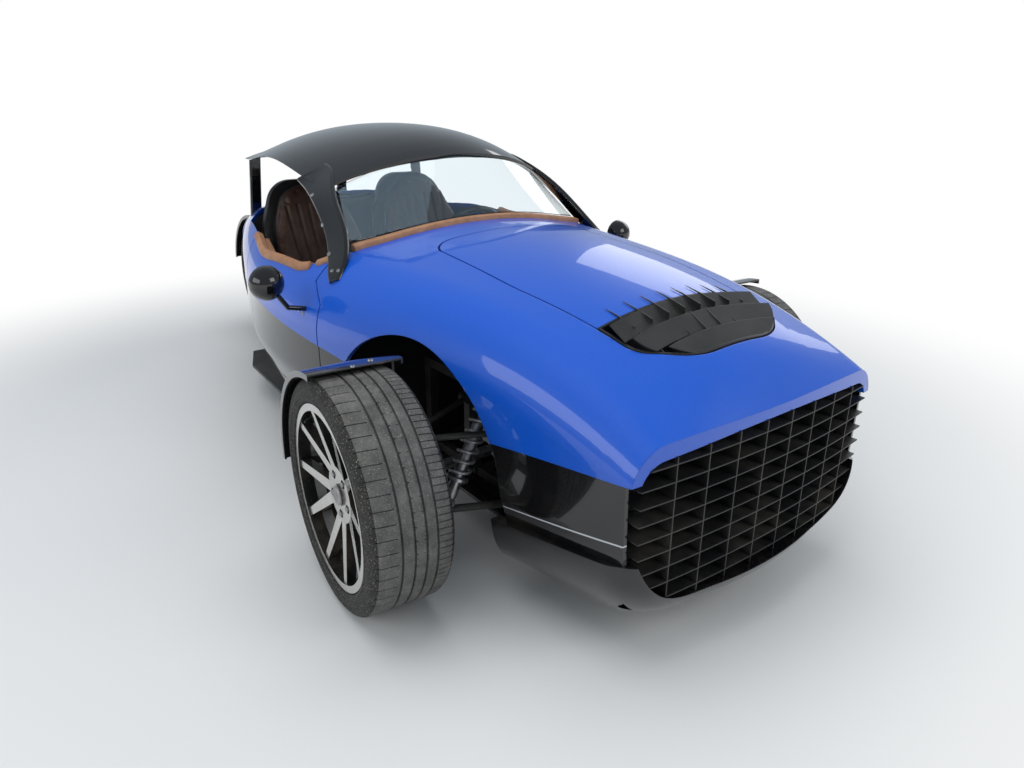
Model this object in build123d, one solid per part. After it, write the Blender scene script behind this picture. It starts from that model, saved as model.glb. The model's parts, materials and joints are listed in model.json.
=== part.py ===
from build123d import *
import os
from functools import lru_cache
from math import atan2, cos, hypot, pi, radians, sin, sqrt, tan

# Three wheeled open car, two steered wheels in front and one behind.
# Millimetres. X forward, Y to the car's left, Z up, origin on the ground under the
# car's middle. The drawing's own zero lies MIDDLE_X behind it.
# Pieces that come in pairs are drawn on the left side and mirrored.

MIDDLE_X = 40.0

# Wheels and track
WHEELBASE = 2550.0
FRONT_AXLE_X = 1123.0
REAR_AXLE_X = FRONT_AXLE_X - WHEELBASE
HALF_TRACK = 760.0
KINGPIN_Y = 660.0
PARKED_STEER = 4.7            # degrees, front wheels left turned to the car's right
FRONT_TYRE_RADIUS = 320.0
FRONT_TYRE_WIDTH = 225.0
REAR_TYRE_RADIUS = 327.0
REAR_TYRE_WIDTH = 285.0
RIM_RADIUS = 252.0
BEAD_RADIUS = 241.3
RIM_WALL = 9.0
RIM_EDGE = 8.0                # how far the rim's flange stands inside the tyre's side
TREAD_GROOVES = 4
GROOVE_WIDTH = 8.0
GROOVE_DEPTH = 7.0
TYRE_SHOULDER = 22.0
SPOKE_PAIRS = 5
SPOKE_SPREAD = 18.0           # degrees each spoke's rim end stands off its pair's middle
SPOKE_ROOT = 17.0
SPOKE_TIP = 11.0
SPOKE_DEPTH = 26.0
LUG_CIRCLE = 56.0
LUG_RADIUS = 12.0
CAP_RADIUS = 30.0
PAD_RADIUS = 78.0
DISC_RADIUS = 150.0
DISC_THICKNESS = 24.0
HUB_RADIUS = 45.0
FLANGE_RADIUS = 74.0
FLANGE_THICKNESS = 12.0
SPINDLE_RADIUS = 20.0
RUNNING_FIT = 0.05
SEAT_GAP = 0.3                # clearance where one piece is seated on another

# Body shell
SKIN = 14.0
DOOR_WALL = 42.0
PANEL_GAP = 5.0
LOWER_STEP = 3.0              # black lower panels sit this far inside the blue ones
NOSE_X = 1830.0
NOSE_BAND = 26.0              # width of the blue rim round the grille
NOSE_RIM_DEPTH = 24.0
NOSE_BOW = 30.0               # the nose's middle stands this far ahead of its corners
GRILLE_PROUD = 18.0           # the grille's ends stand this far ahead of the side panels
TAIL_X = -1112.0
FLOOR_Z = 150.0
BELLY_Z = 180.0               # top edge of the belly pan
ARCH_X = 1030.0
ARCH_Z = 322.0
ARCH_RADIUS = 358.0
ARCH_INNER_Y = 400.0
NOTCH_GAP = 30.0              # rear wheel to the notch in the tail
WIDE = 1100.0                 # half length of cutting solids across the car
TALL = 1400.0

# Body sections, front to back. Columns: station x, crown apex z, shoulder corner
# half width and z, shoulder radius, waist half width and z, foot half width.
SECTIONS = (
    (NOSE_X, 618.0, 474.0, 590.0, 95.0, 463.0, 340.0, 440.0),
    (1755.0, 712.0, 480.0, 618.0, 125.0, 474.0, 340.0, 447.0),
    (1560.0, 812.0, 494.0, 690.0, 165.0, 497.0, 342.0, 456.0),
    (1100.0, 884.0, 560.0, 775.0, 210.0, 563.0, 366.0, 494.0),
    (600.0, 925.0, 645.0, 800.0, 255.0, 648.0, 400.0, 530.0),
    (100.0, 950.0, 652.0, 835.0, 245.0, 656.0, 424.0, 543.0),
    (-400.0, 925.0, 527.0, 845.0, 180.0, 540.0, 450.0, 430.0),
    (-760.0, 868.0, 410.0, 798.0, 145.0, 418.0, 450.0, 338.0),
    (TAIL_X, 790.0, 287.0, 742.0, 110.0, 292.0, 450.0, 240.0),
)
FOOT_RADIUS = 28.0
WAIST_RADIUS = 150.0
CROWN_SHARE = 0.5             # how much of each top slope the crown's round takes up

# Line on the body's side where blue meets black: x and z, front to back
BELT = ((1860.0, 531.0), (1300.0, 468.0), (1100.0, 500.0), (640.0, 556.0),
        (150.0, 600.0), (-400.0, 610.0), (-1200.0, 545.0))

# Cockpit opening and doors
COWL_X = 600.0                # front edge of the opening on the centre line
COWL_SIDE_X = 562.0           # and at its front corners
COWL_HALF = 478.0
COCKPIT_REAR_X = -505.0
COAMING = 42.0
TRIM_RISE = 15.0              # how far the cowl's padded strip stands above the blue
TRIM_SINK = 24.0
TRIM_WIDTH = 30.0
DOOR_TRIM_WIDTH = 40.0
DOOR_TRIM_DEPTH = 52.0
DOOR_TRIM_FRONT_X = 455.0
JAMB = 22.0                   # door frame beside and behind the door's edge
DOOR_FRONT_X = 600.0
DOOR_REAR_X = -95.0
DOOR_SILL_Z = 330.0
DOOR_NOSE_Z = 690.0

# Hood lid and its vent
LID_REAR_X = 735.0
LID_HALF = 305.0
LID_FRONT_HALF = 272.0
LID_NOSE_X = 1690.0
VENT_REAR_X = 1478.0
VENT_ROWS = 3
VENT_FINS = 9
VENT_DEPTH = 44.0
VENT_RIM = 6.0
SLAT_DEPTH = 62.0
SLAT_TILT = 58.0              # degrees each slat leans forward from upright
TOOTH_FALL = 14.0
SPIKE_LENGTH = 46.0
SPIKE_RISE = 13.0
PLATE = 3.0                   # grille and vent plates

# Grille
GRILLE_COLUMNS = 9
GRILLE_ROWS = 10
GRILLE_DEPTH = 58.0
GRILLE_BOTTOM_Z = 185.0
GRILLE_CORNER = 190.0

# Lip under the nose. Columns: z, half width at the rear, corner x and half width,
# corner radius, x at the middle of the nose.
LIP_LEVELS = (
    (118.0, 468.0, 1746.0, 384.0, 150.0, 1830.0),
    (175.0, 500.0, 1796.0, 436.0, 140.0, 1866.0),
    (250.0, 514.0, 1816.0, 472.0, 115.0, 1870.0),
    (322.0, 522.0, 1816.0, 478.0, 100.0, 1866.0),
)
LIP_NOSE_RADIUS = 1150.0
LIP_REAR_X = 1345.0
LIP_REAR_Z = 246.0
LIP_FRONT_Z = 318.0
LIP_KEEL = ((1345.0, 124.0), (1478.0, 128.0), (1700.0, 146.0), (1900.0, 160.0))
LIP_SOLID_X = 1768.0          # the lip is hollow behind here

# Roof, its pillars and posts. Columns: x, centre z, half width, edge z.
ROOF_SECTIONS = (
    (-560.0, 1118.0, 425.0, 1048.0),
    (-330.0, 1178.0, 455.0, 1066.0),
    (0.0, 1196.0, 482.0, 1072.0),
    (200.0, 1180.0, 480.0, 1034.0),
    (425.0, 1106.0, 440.0, 990.0),
)
ROOF_SKIN = 16.0
# Front pillars from the roof's corners to the shoulders. Columns: x, y, z, width,
# and how much its outer face looks up for each unit it looks sideways.
PILLAR_PATH = (
    (200.0, 446.0, 1046.0, 116.0, 1.7),
    (320.0, 466.0, 998.0, 96.0, 1.1),
    (420.0, 490.0, 938.0, 80.0, 0.7),
    (505.0, 509.0, 872.0, 84.0, 0.6),
    (565.0, 538.0, 815.0, 78.0, 0.8),
    (618.0, 578.0, 758.0, 40.0, 1.2),
)
PILLAR_THICKNESS = 20.0
POST_X = -545.0
POST_TOP_Y = 380.0
POST_FOOT_Y = 418.0
POST_WIDTH = 46.0
POST_THICKNESS = 20.0
ROOF_FRONT_X = 428.0
ROOF_FRONT_BOW = 130.0
CORNERS = ((-1, -1), (1, -1), (1, 1), (-1, 1))
STANDING = (Align.CENTER, Align.CENTER, Align.MIN)
GLASS = 5.0
GLASS_FOOT = ((588.0, 0.0, 905.0), (548.0, 476.0, 838.0))     # centre and end
GLASS_HEAD = ((420.0, 0.0, 1108.0), (330.0, 440.0, 998.0))

# Seats and controls
SEAT_Y = 252.0
SEAT_WIDTH = 440.0
SEAT_BACK_TOP = (-425.0, 965.0)
SEAT_BACK_FOOT = (-171.0, 215.0)
SEAT_CUSHION_FRONT_X = 230.0
SEAT_BASE_Z = 215.0
SHELL_THICKNESS = 30.0
PAD_THICKNESS = 75.0
FIREWALL_X = 655.0
PLATE_WALL = 10.0
CONSOLE_HALF = 28.0
CONSOLE_TOP_Z = 350.0
BULKHEAD_TOP_Z = 850.0
BULKHEAD_GAP = 26.0           # seat back to the bulkhead behind it
SHELF_REAR_X = -545.0
DASH_X = 392.0
DASH_LOW_Z = 560.0
DASH_TOP_Z = 838.0
DASH_HALF = 498.0
WHEEL_CENTRE = (105.0, 268.0, 690.0)
WHEEL_RADIUS = 178.0
STEERING_RATIO = 14.0
WHEEL_TILT = 18.0             # degrees the steering wheel leans from upright
WHEEL_RIM = 15.0
WHEEL_BOSS = 46.0
COLUMN_RADIUS = 28.0

# Chassis and running gear
RAIL_Y = 300.0
RAIL = 30.0
RAIL_LOW_Z = FLOOR_Z + SKIN + SEAT_GAP + RAIL / 2
RAIL_HIGH_Z = 470.0
FRAME_NOSE_X = 1700.0
RADIATOR_BAR_X = 1545.0
LOWER_BALL_Z = 205.0
UPPER_BALL_Z = 430.0
BALL_RADIUS = 22.0
BALL_HEIGHT = 24.0
BALL_PIN = 8.0
ARM_SPREAD = 150.0
LOWER_ARM_TUBE = 11.0
UPPER_ARM_TUBE = 9.0
STEERING_ARM = 110.0
TIE_ROD_Z = 240.0
TIE_ROD_RADIUS = 9.0
RACK_RADIUS = 12.0
RACK_HALF = 200.0
ARM_EYE = 15.0
ARM_PLATE_Z = 256.0
ARM_PLATE = 12.0
KNUCKLE_WIDTH = 50.0
FENDER_GAP = 14.0
FENDER_SKIN = 6.0
FENDER_LIP = 10.0
FENDER_OVERHANG = 22.0        # how far the front guards stand inside of the tyre
FENDER_FRONT = 92.0           # degrees round the wheel from straight ahead
FENDER_REAR = 184.0
RACK_HOUSING = 20.0
RACK_HOUSING_HALF = 215.0
DAMPER_X = 55.0               # dampers stand this far ahead of the front axle
DAMPER_FOOT_Y = 540.0
DAMPER_FOOT_Z = 232.0
DAMPER_HEAD_Z = 585.0
DAMPER_EYE = 14.0
DAMPER_ROD = 9.0
SPRING_RADIUS = 28.0
SHAFT_RADIUS = 13.0
JOINT_RADIUS = 40.0
ENGINE_FRONT_X = 1330.0
ENGINE_REAR_X = 890.0
ENGINE_LOW_Z = 275.0
ENGINE_TOP_Z = 655.0
LAMP_BACK_X = 1622.0
LAMP_RADIUS = 60.0
LAMP_BOWL = 36.0
LENS_RISE = 18.0
LAMP_Z = 480.0
LAMP_Y = 322.0
SKIRT_THICKNESS = 12.0
REAR_RAIL_Y = 150.0
SWING_PIVOT_X = -930.0
SWING_PIVOT_Z = 300.0
SWING_PIVOT_RADIUS = 18.0
SWING_ARM_Y = 196.0
SWING_ARM_WIDTH = 34.0
SWING_ARM_HEIGHT = 64.0
AXLE_RADIUS = 15.0
AXLE_BORE = 8.0
AXLE_ROOM = 3.0                # round the axle in the rear rim's pad
REAR_FENDER_GAP = 22.0
REAR_FENDER_FRONT = 52.0      # degrees round the wheel from straight ahead
REAR_FENDER_REAR = 168.0
TAIL_LAMP_RADIUS = 38.0
TAIL_LAMP_Y = 150.0
TAIL_LAMP_Z = 610.0
MIRROR_FOOT = (521.0, 700.0, 676.0)
MIRROR_HEAD = (512.0, 752.0, 758.0)
MIRROR_RADIUS = 54.0
MIRROR_STALK = 8.0


def rounded(points):
    """Closed wire through (u, v, radius) corners, each corner an arc, on the XY plane."""
    count = len(points)
    edges, ends, starts = [], [], []
    for i, (u, v, radius) in enumerate(points):
        corner = Vector(u, v)
        before = (Vector(*points[i - 1][:2]) - corner).normalized()
        after = (Vector(*points[(i + 1) % count][:2]) - corner).normalized()
        half = radians(before.get_angle(after)) / 2
        reach = radius / tan(half)
        bisector = (before + after).normalized()
        middle = corner + bisector * (radius / sin(half) - radius)
        starts.append(corner + before * reach)
        ends.append(corner + after * reach)
        edges.append(Edge.make_three_point_arc(starts[i], middle, ends[i]))
    for i in range(count):
        edges.append(Edge.make_line(ends[i], starts[(i + 1) % count]))
    return Wire(edges)


def polygon(points):
    """Closed wire of straight edges through (u, v) points, on the XY plane."""
    return Wire.make_polygon([Vector(u, v) for u, v in points], close=True)


def across(wire, half=WIDE):
    """Solid from an X-Z outline, running to both sides of the car."""
    side = Plane(origin=(0, 0, 0), x_dir=(1, 0, 0), z_dir=(0, -1, 0))
    return extrude(side * Face(wire), half, both=True)


def upwards(wire, low, high):
    """Solid from a plan outline, between two heights."""
    return extrude(Plane.XY.offset(low) * Face(wire), high - low, dir=(0, 0, 1))


def forwards(wire, rear, front):
    """Solid from a Y-Z outline, between two stations."""
    plane = Plane(origin=(rear, 0, 0), x_dir=(0, 1, 0), z_dir=(1, 0, 0))
    return extrude(plane * Face(wire), front - rear, dir=(1, 0, 0))


def block(x, y, z):
    """Box between pairs of limits."""
    size = Box(x[1] - x[0], y[1] - y[0], z[1] - z[0])
    return Pos((x[0] + x[1]) / 2, (y[0] + y[1]) / 2, (z[0] + z[1]) / 2) * size


def rod(start, end, radius):
    """Round bar between two points."""
    start, end = Vector(*start), Vector(*end)
    plane = Plane(origin=start, z_dir=end - start)
    return extrude(plane * Circle(radius), (end - start).length)


def drum(centre, axis, radius, length):
    """Cylinder centred on a point, along an axis."""
    plane = Plane(origin=centre, z_dir=axis)
    return extrude(plane * Circle(radius), length / 2, both=True)


def other_side(shape):
    return mirror(shape, about=Plane.XZ)


def pair(shape):
    """The left piece and its mirror image, as solids of one node."""
    return Compound(children=list(shape.solids()) + list(other_side(shape).solids()))


def group(*shapes):
    """Solids that share a node without touching."""
    return Compound(children=[solid for shape in shapes for solid in shape.solids()])


def section_wire(row, inset):
    """One cross section of the body, pulled inwards by the inset all round."""
    x, apex, corner_y, corner_z, corner_r, waist_y, waist_z, foot_y = row
    rise = apex - corner_z
    slope = atan2(rise, corner_y)
    crown_reach = CROWN_SHARE * hypot(rise, corner_y)
    side = (
        (corner_y - inset, corner_z - inset, corner_r - inset),
        (waist_y - inset, waist_z, WAIST_RADIUS),
        (foot_y - inset, FLOOR_Z + inset, FOOT_RADIUS),
    )
    crown = (0, apex - inset / cos(slope), crown_reach / tan(slope))
    left = [(-y, z, r) for y, z, r in side]
    wire = rounded([crown] + list(side) + left[::-1])
    return Plane(origin=(x, 0, 0), x_dir=(0, 1, 0), z_dir=(1, 0, 0)) * wire


@lru_cache
def body(inset):
    """The whole body as a solid, pulled inwards by the inset except at the open nose."""
    faces = []
    for row in SECTIONS:
        placed = list(row)
        if row[0] == TAIL_X:
            placed[0] += inset
        faces.append(Face(section_wire(placed, inset)))
    return loft(faces)


def interpolated(x, column):
    """Value of a section's column at a station between the table's rows."""
    rows = [row for row in SECTIONS if row[0] >= x]
    ahead, behind = rows[-1], SECTIONS[len(rows)]
    share = (x - behind[0]) / (ahead[0] - behind[0])
    return behind[column] + share * (ahead[column] - behind[column])


@lru_cache
def surface_z(x, y):
    """Height of the body's surface over a place in plan."""
    upright = Axis((x, y, 0), (0, 0, 1))
    return max(point.Z for point, normal in body(0).find_intersection_points(upright))


def bow_radius():
    """Radius in plan of the nose's bowed front."""
    half = SECTIONS[0][2]
    return (half ** 2 + NOSE_BOW ** 2) / (2 * NOSE_BOW)


def ahead_of_nose(back):
    """Everything in front of the bowed nose, moved back by a distance."""
    radius = bow_radius()
    slab = block((NOSE_X - 200, NOSE_X + 200), (-WIDE, WIDE), (0, TALL))
    bow = Pos(NOSE_X - radius - back, 0, TALL / 2) * Cylinder(radius, TALL)
    return slab - bow


def above_belt(drop=0.0):
    points = [(x, z - drop) for x, z in BELT]
    return across(polygon(points + [(BELT[-1][0], TALL), (BELT[0][0], TALL)]))


def arch(grow=0.0):
    """Wheel arch, open from the inner wall outwards on both sides."""
    opening = drum((ARCH_X, WIDE / 2 + ARCH_INNER_Y, ARCH_Z), (0, 1, 0), ARCH_RADIUS + grow, WIDE)
    lower = block((ARCH_X - ARCH_RADIUS - grow, ARCH_X + ARCH_RADIUS + grow),
                  (ARCH_INNER_Y, WIDE), (0, ARCH_Z))
    cut = opening + lower
    return cut + other_side(cut)


def tail_notch():
    """Space for the rear wheel in the tail."""
    radius = REAR_TYRE_RADIUS + NOTCH_GAP
    round_part = drum((REAR_AXLE_X, 0, REAR_TYRE_RADIUS), (0, 1, 0), radius, 2 * WIDE)
    lower = block((REAR_AXLE_X - radius, REAR_AXLE_X + radius), (-WIDE, WIDE), (0, REAR_TYRE_RADIUS))
    return round_part + lower


def door_prism(grow=0.0):
    """Side outline of a door, pushed out by half the gap when it cuts its neighbours."""
    front, rear = DOOR_FRONT_X + grow, DOOR_REAR_X - grow
    sill = DOOR_SILL_Z - grow
    slope_x = COWL_X - 75 + grow
    return across(polygon((
        (front, sill), (front, DOOR_NOSE_Z + grow), (slope_x, DOOR_NOSE_Z + 58 + grow),
        (slope_x, TALL), (rear, TALL), (rear, sill))))


def cockpit_prism(wall=COAMING):
    """Cockpit opening seen from above, inside a coaming of the given width."""
    rows = [row for row in SECTIONS if -500.0 < row[0] < 500.0]
    shift = wall - COAMING
    rear = COCKPIT_REAR_X
    right = [(COWL_SIDE_X, shift - COWL_HALF), (430.0, shift - 594.0)]
    right += [(row[0], wall - row[2]) for row in rows]
    right += [(rear + 40, shift - 400.0), (rear, shift - 340.0)]
    left = [(x, -y) for x, y in right[::-1]]
    edges = [Edge.make_line(Vector(*a), Vector(*b)) for a, b in zip(right, right[1:])]
    edges.append(Edge.make_three_point_arc(
        Vector(*right[-1]), Vector(rear - 30, 0), Vector(*left[0])))
    edges += [Edge.make_line(Vector(*a), Vector(*b)) for a, b in zip(left, left[1:])]
    edges.append(Edge.make_three_point_arc(
        Vector(*left[-1]), Vector(COWL_X, 0), Vector(*right[0])))
    return upwards(Wire(edges), 380, TALL)


def lid_outline(grow=0.0):
    front_half = LID_FRONT_HALF + grow
    points = (
        (LID_REAR_X - grow, LID_HALF + grow, 80.0),
        (1180.0, LID_HALF + 8 + grow, 900.0),
        (1600.0, front_half, 80.0),
        (LID_NOSE_X + grow, 150.0, 200.0),
    )
    mirrored = [(x, -y, r) for x, y, r in points]
    return rounded(list(points) + mirrored[::-1])


def lid_prism(grow=0.0):
    return upwards(lid_outline(grow), 560, TALL)


def grille_prism(rear, front, clearance):
    """Opening of the nose inside its blue rim, with its round lower corners."""
    row = SECTIONS[0]
    band = NOSE_BAND + clearance
    slope = atan2(row[1] - row[3], row[2])
    reach = CROWN_SHARE * hypot(row[1] - row[3], row[2])
    side = (
        (row[2] - band, row[3] - band, row[4] - NOSE_BAND),
        (row[5] - SKIN - clearance, GRILLE_BOTTOM_Z + clearance, GRILLE_CORNER),
    )
    crown = (0, row[1] - band / cos(slope), reach / tan(slope))
    points = [crown] + list(side) + [(-y, z, r) for y, z, r in side][::-1]
    return forwards(rounded(points), rear, front)


@lru_cache
def upper_shell():
    """Blue skin above the belt, the whole length of the car."""
    return (body(0) - body(SKIN)) & above_belt()


@lru_cache
def nose_skin():
    """Blue skin of the nose before its openings are cut."""
    return upper_shell() & block((COWL_SIDE_X - 140, NOSE_X + 1), (-WIDE, WIDE), (0, TALL))


def nose_rim():
    """Thick rim of the nose round the grille."""
    rear = NOSE_X - NOSE_BOW - NOSE_RIM_DEPTH
    rim = body(0) & block((rear, NOSE_X + 1), (-WIDE, WIDE), (0, TALL))
    rim = rim & above_belt()
    return rim - grille_prism(rear - 1, NOSE_X + 2, 0)


def nose_shell():
    """Blue nose from the grille back to the cowl and the doors."""
    piece = nose_skin() - lid_prism(PANEL_GAP / 2)
    piece += nose_rim()
    piece -= arch()
    piece -= ahead_of_nose(0)
    piece -= cockpit_prism()
    return piece - door_prism(PANEL_GAP / 2)


def rear_body():
    """Blue boat tail behind the doors, with the cockpit's rear rim."""
    piece = upper_shell() & block((TAIL_X - 1, DOOR_REAR_X - PANEL_GAP / 2), (-WIDE, WIDE), (0, TALL))
    piece -= cockpit_prism()
    return piece - tail_notch()


@lru_cache
def lower_shell():
    """Black skin below the belt, from the lip to the tail."""
    piece = body(LOWER_STEP) - body(SKIN)
    piece -= above_belt(SEAT_GAP)
    piece -= lip_side(SEAT_GAP)
    piece -= ahead_of_nose(GRILLE_PROUD)
    piece -= arch()
    piece -= tail_notch()
    return piece - door_prism(PANEL_GAP / 2)


def belly_pan():
    """Flat floor of the body with its turned-up edges."""
    pan = lower_shell() & block((-2 * WIDE, 2 * WIDE), (-WIDE, WIDE), (0, BELLY_Z))
    return max(pan.solids(), key=lambda solid: solid.volume)


def lower_sides():
    """Black lower sides, standing on the belly pan's edges."""
    return lower_shell() & block((-2 * WIDE, 2 * WIDE), (-WIDE, WIDE), (BELLY_Z + SEAT_GAP, TALL))


def hood_panel():
    lid = nose_skin() & lid_prism(-PANEL_GAP / 2)
    return lid & block((0, VENT_REAR_X), (-WIDE, WIDE), (0, TALL))


def hood_vent():
    """Frame, tilted slats and saw-toothed fins of the hood's outlet."""
    area = block((VENT_REAR_X + SEAT_GAP, NOSE_X), (-WIDE, WIDE), (0, TALL))
    opening = lid_prism(-PANEL_GAP / 2 - VENT_RIM)
    opening = opening & block((VENT_REAR_X + VENT_RIM, NOSE_X), (-WIDE, WIDE), (0, TALL))
    piece = (nose_skin() & area & lid_prism(-PANEL_GAP / 2)) - opening
    reach = lid_prism(-PANEL_GAP / 2 - VENT_RIM / 2) & area
    pitch = (LID_NOSE_X - VENT_REAR_X) / VENT_ROWS
    plates = vent_slat(VENT_REAR_X + VENT_RIM)
    for row in range(1, VENT_ROWS):
        plates += vent_slat(VENT_REAR_X + VENT_RIM + row * pitch)
    step = 2 * LID_FRONT_HALF / VENT_FINS
    fins = [(column - VENT_FINS / 2 + 1) * step for column in range(VENT_FINS - 1)]
    for y in fins:
        plates += vent_teeth(y, pitch)
    piece += plates & reach
    for y in fins:
        piece += vent_spike(y)
    return piece


def vent_slat(x):
    """Long slat across the vent, arched like the hood, its foot leaning forward."""
    half = LID_HALF
    top = surface_z(x, 0) - 3
    edge = surface_z(x, half) - 3
    plane = Plane(origin=(x, 0, 0), x_dir=(0, 1, 0), z_dir=(1, 0, 0))
    face = Face(Wire([
        Edge.make_three_point_arc((-half, edge), (0, top), (half, edge)),
        Edge.make_line((half, edge), (half, edge - SLAT_DEPTH)),
        Edge.make_three_point_arc((half, edge - SLAT_DEPTH), (0, top - SLAT_DEPTH),
                                  (-half, edge - SLAT_DEPTH)),
        Edge.make_line((-half, edge - SLAT_DEPTH), (-half, edge))]))
    slat = extrude(plane * face, PLATE, dir=(1, 0, 0))
    return Pos(x, 0, top) * Rot(0, -SLAT_TILT, 0) * Pos(-x, 0, -top) * slat


def vent_teeth(y, pitch):
    """Upright fin across the slats, with one tooth at each row."""
    edge = [(VENT_REAR_X, surface_z(VENT_REAR_X, y) + 1)]
    for row in range(VENT_ROWS):
        start = VENT_REAR_X + VENT_RIM + row * pitch
        end = min(start + pitch, LID_NOSE_X)
        edge += [(start, surface_z(start, y) + 1), (end, surface_z(end, y) - TOOTH_FALL)]
    foot = [(x, z - VENT_DEPTH) for x, z in (edge[-1], edge[0])]
    return Pos(0, y, 0) * across(polygon(edge + foot), PLATE / 2)


def vent_spike(y):
    """Thin point that runs back from a fin over the lid."""
    base = VENT_REAR_X + SEAT_GAP
    z = surface_z(base, y)
    outline = polygon(((base, z - 6), (base, z + 1.5), (base - SPIKE_LENGTH, z + SPIKE_RISE),
                       (base, z + 5), (base + 60, z - 10), (base + 60, z - 30)))
    return Pos(0, y, 0) * across(outline, PLATE / 2)


def grille():
    """Egg crate of long flat slats and upright dividers, bowed like the nose."""
    rear = NOSE_X - NOSE_BOW - GRILLE_DEPTH
    outline = grille_prism(rear, NOSE_X + 20, SEAT_GAP)
    half = SECTIONS[0][5]
    top = SECTIONS[0][1]
    plates = None
    row_pitch = (top - GRILLE_BOTTOM_Z) / GRILLE_ROWS
    for row in range(GRILLE_ROWS):
        z = GRILLE_BOTTOM_Z + (row + 0.5) * row_pitch
        slat = block((rear, NOSE_X + 20), (-half, half), (z - PLATE / 2, z + PLATE / 2))
        plates = slat if plates is None else plates + slat
    column_pitch = 2 * (half - SKIN) / GRILLE_COLUMNS
    for column in range(GRILLE_COLUMNS - 1):
        y = (column - GRILLE_COLUMNS / 2 + 1) * column_pitch
        plates += block((rear, NOSE_X + 20), (y - PLATE / 2, y + PLATE / 2), (0, top))
    return (plates & outline) - ahead_of_nose(-4)


def lip_side(grow=0.0):
    """Side outline of the lip, from the arch forwards."""
    front = LIP_KEEL[-1][0]
    top = ((front, LIP_FRONT_Z + grow), (NOSE_X - 50, LIP_FRONT_Z + grow),
           (LIP_REAR_X - grow, LIP_REAR_Z + grow))
    keel = [(x, z - grow) for x, z in LIP_KEEL]
    keel[0] = (LIP_REAR_X - grow, keel[0][1])
    return across(polygon(keel + list(top)))


def lip():
    """Gloss black lip, bowl shaped, that wraps the nose's foot."""
    faces = []
    for z, rear_half, corner_x, corner_half, radius, nose_x in LIP_LEVELS:
        left = [(LIP_REAR_X, rear_half, 2.0), (corner_x, corner_half, radius)]
        right = [(x, -y, r) for x, y, r in left[::-1]]
        faces.append(Plane.XY.offset(z) * Face(rounded(left + [(nose_x, 0, LIP_NOSE_RADIUS)] + right)))
    piece = loft(faces) & lip_side()
    piece -= body(SKIN) & block((0, LIP_SOLID_X), (-WIDE, WIDE), (0, TALL))
    return piece - grille_prism(0, NOSE_X + 100, -1)


def arc_face(centre, end, thickness):
    """Curved band across the car: centre and end as x, y, z, thickness along its sagitta."""
    rise = Vector(centre[0] - end[0], 0, centre[2] - end[2])
    high, low, half = rise.length, rise.length - thickness, end[1]
    plane = Plane(origin=(end[0], 0, end[2]), x_dir=(0, 1, 0), z_dir=Vector(0, 1, 0).cross(rise))
    return plane * Face(Wire([
        Edge.make_three_point_arc((-half, 0), (0, high), (half, 0)),
        Edge.make_line((half, 0), (half, -thickness)),
        Edge.make_three_point_arc((half, -thickness), (0, low), (-half, -thickness)),
        Edge.make_line((-half, -thickness), (-half, 0))]))


def windshield():
    """Curved pane standing on the cowl's padded strip, under the roof's front edge."""
    pane = loft([arc_face(*GLASS_FOOT, GLASS), arc_face(*GLASS_HEAD, GLASS)], ruled=True)
    side = pillar(SEAT_GAP)
    pane -= Pos(0, 0, SEAT_GAP) * body(-TRIM_RISE)
    pane -= roof_shell(SEAT_GAP)
    pane -= side
    pane -= other_side(side)
    return max(pane.solids(), key=lambda solid: solid.volume)


def cowl_trim():
    """Padded tan strip along the cowl's rear edge, under the glass."""
    edge = cockpit_prism() & block((380, COWL_X + 1), (-COWL_HALF, COWL_HALF), (600, TALL))
    strip = edge - Pos(-TRIM_WIDTH, 0, 0) * cockpit_prism()
    strip = Pos(-SEAT_GAP, 0, 0) * strip
    strip = strip & block((COWL_SIDE_X - TRIM_WIDTH, COWL_X), (-COWL_HALF, COWL_HALF), (600, TALL))
    return (strip & body(-TRIM_RISE)) - body(TRIM_SINK)


def roof_shell(grow=0.0):
    """Arched roof between its rear edge and the bowed front edge over the glass."""
    faces = []
    for x, centre, half, edge in ROOF_SECTIONS:
        lip_y, lip_z = half - 6, edge - 3 - grow
        plane = Plane(origin=(x, 0, 0), x_dir=(0, 1, 0), z_dir=(1, 0, 0))
        faces.append(plane * Face(Wire([
            Edge.make_three_point_arc((-half, edge), (0, centre), (half, edge)),
            Edge.make_line((half, edge), (lip_y, lip_z)),
            Edge.make_three_point_arc((lip_y, lip_z), (0, centre - ROOF_SKIN - grow), (-lip_y, lip_z)),
            Edge.make_line((-lip_y, lip_z), (-half, edge))])))
    front_x, side_x, side_y = ROOF_FRONT_X, ROOF_FRONT_X - ROOF_FRONT_BOW, 520
    ahead = upwards(Wire([
        Edge.make_three_point_arc((side_x, -side_y), (front_x, 0), (side_x, side_y)),
        Edge.make_line((side_x, side_y), (800, side_y)),
        Edge.make_line((800, side_y), (800, -side_y)),
        Edge.make_line((800, -side_y), (side_x, -side_y))]), 600, TALL)
    return loft(faces) - ahead


def roof():
    """Black roof shell with its two front pillars, which stand on the nose's shoulders."""
    left = pillar() - body(-SEAT_GAP)
    left = max(left.solids(), key=lambda solid: solid.volume)
    return roof_shell() + left + other_side(left)


def pillar(grow=0.0):
    """Front pillar from the roof's corner down to the body's shoulder."""
    faces = []
    points = [Vector(*row[:3]) for row in PILLAR_PATH]
    for i, point in enumerate(points):
        along = points[min(i + 1, len(points) - 1)] - points[max(i - 1, 0)]
        width, lean = PILLAR_PATH[i][3:]
        plane = Plane(origin=point, x_dir=Vector(0.25, 1, lean).cross(along), z_dir=along)
        wide, deep = width / 2 + grow, PILLAR_THICKNESS / 2 + grow
        wire = rounded([(u * wide, v * deep, 8.0) for u, v in CORNERS])
        faces.append(plane * Face(wire))
    return loft(faces)


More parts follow.
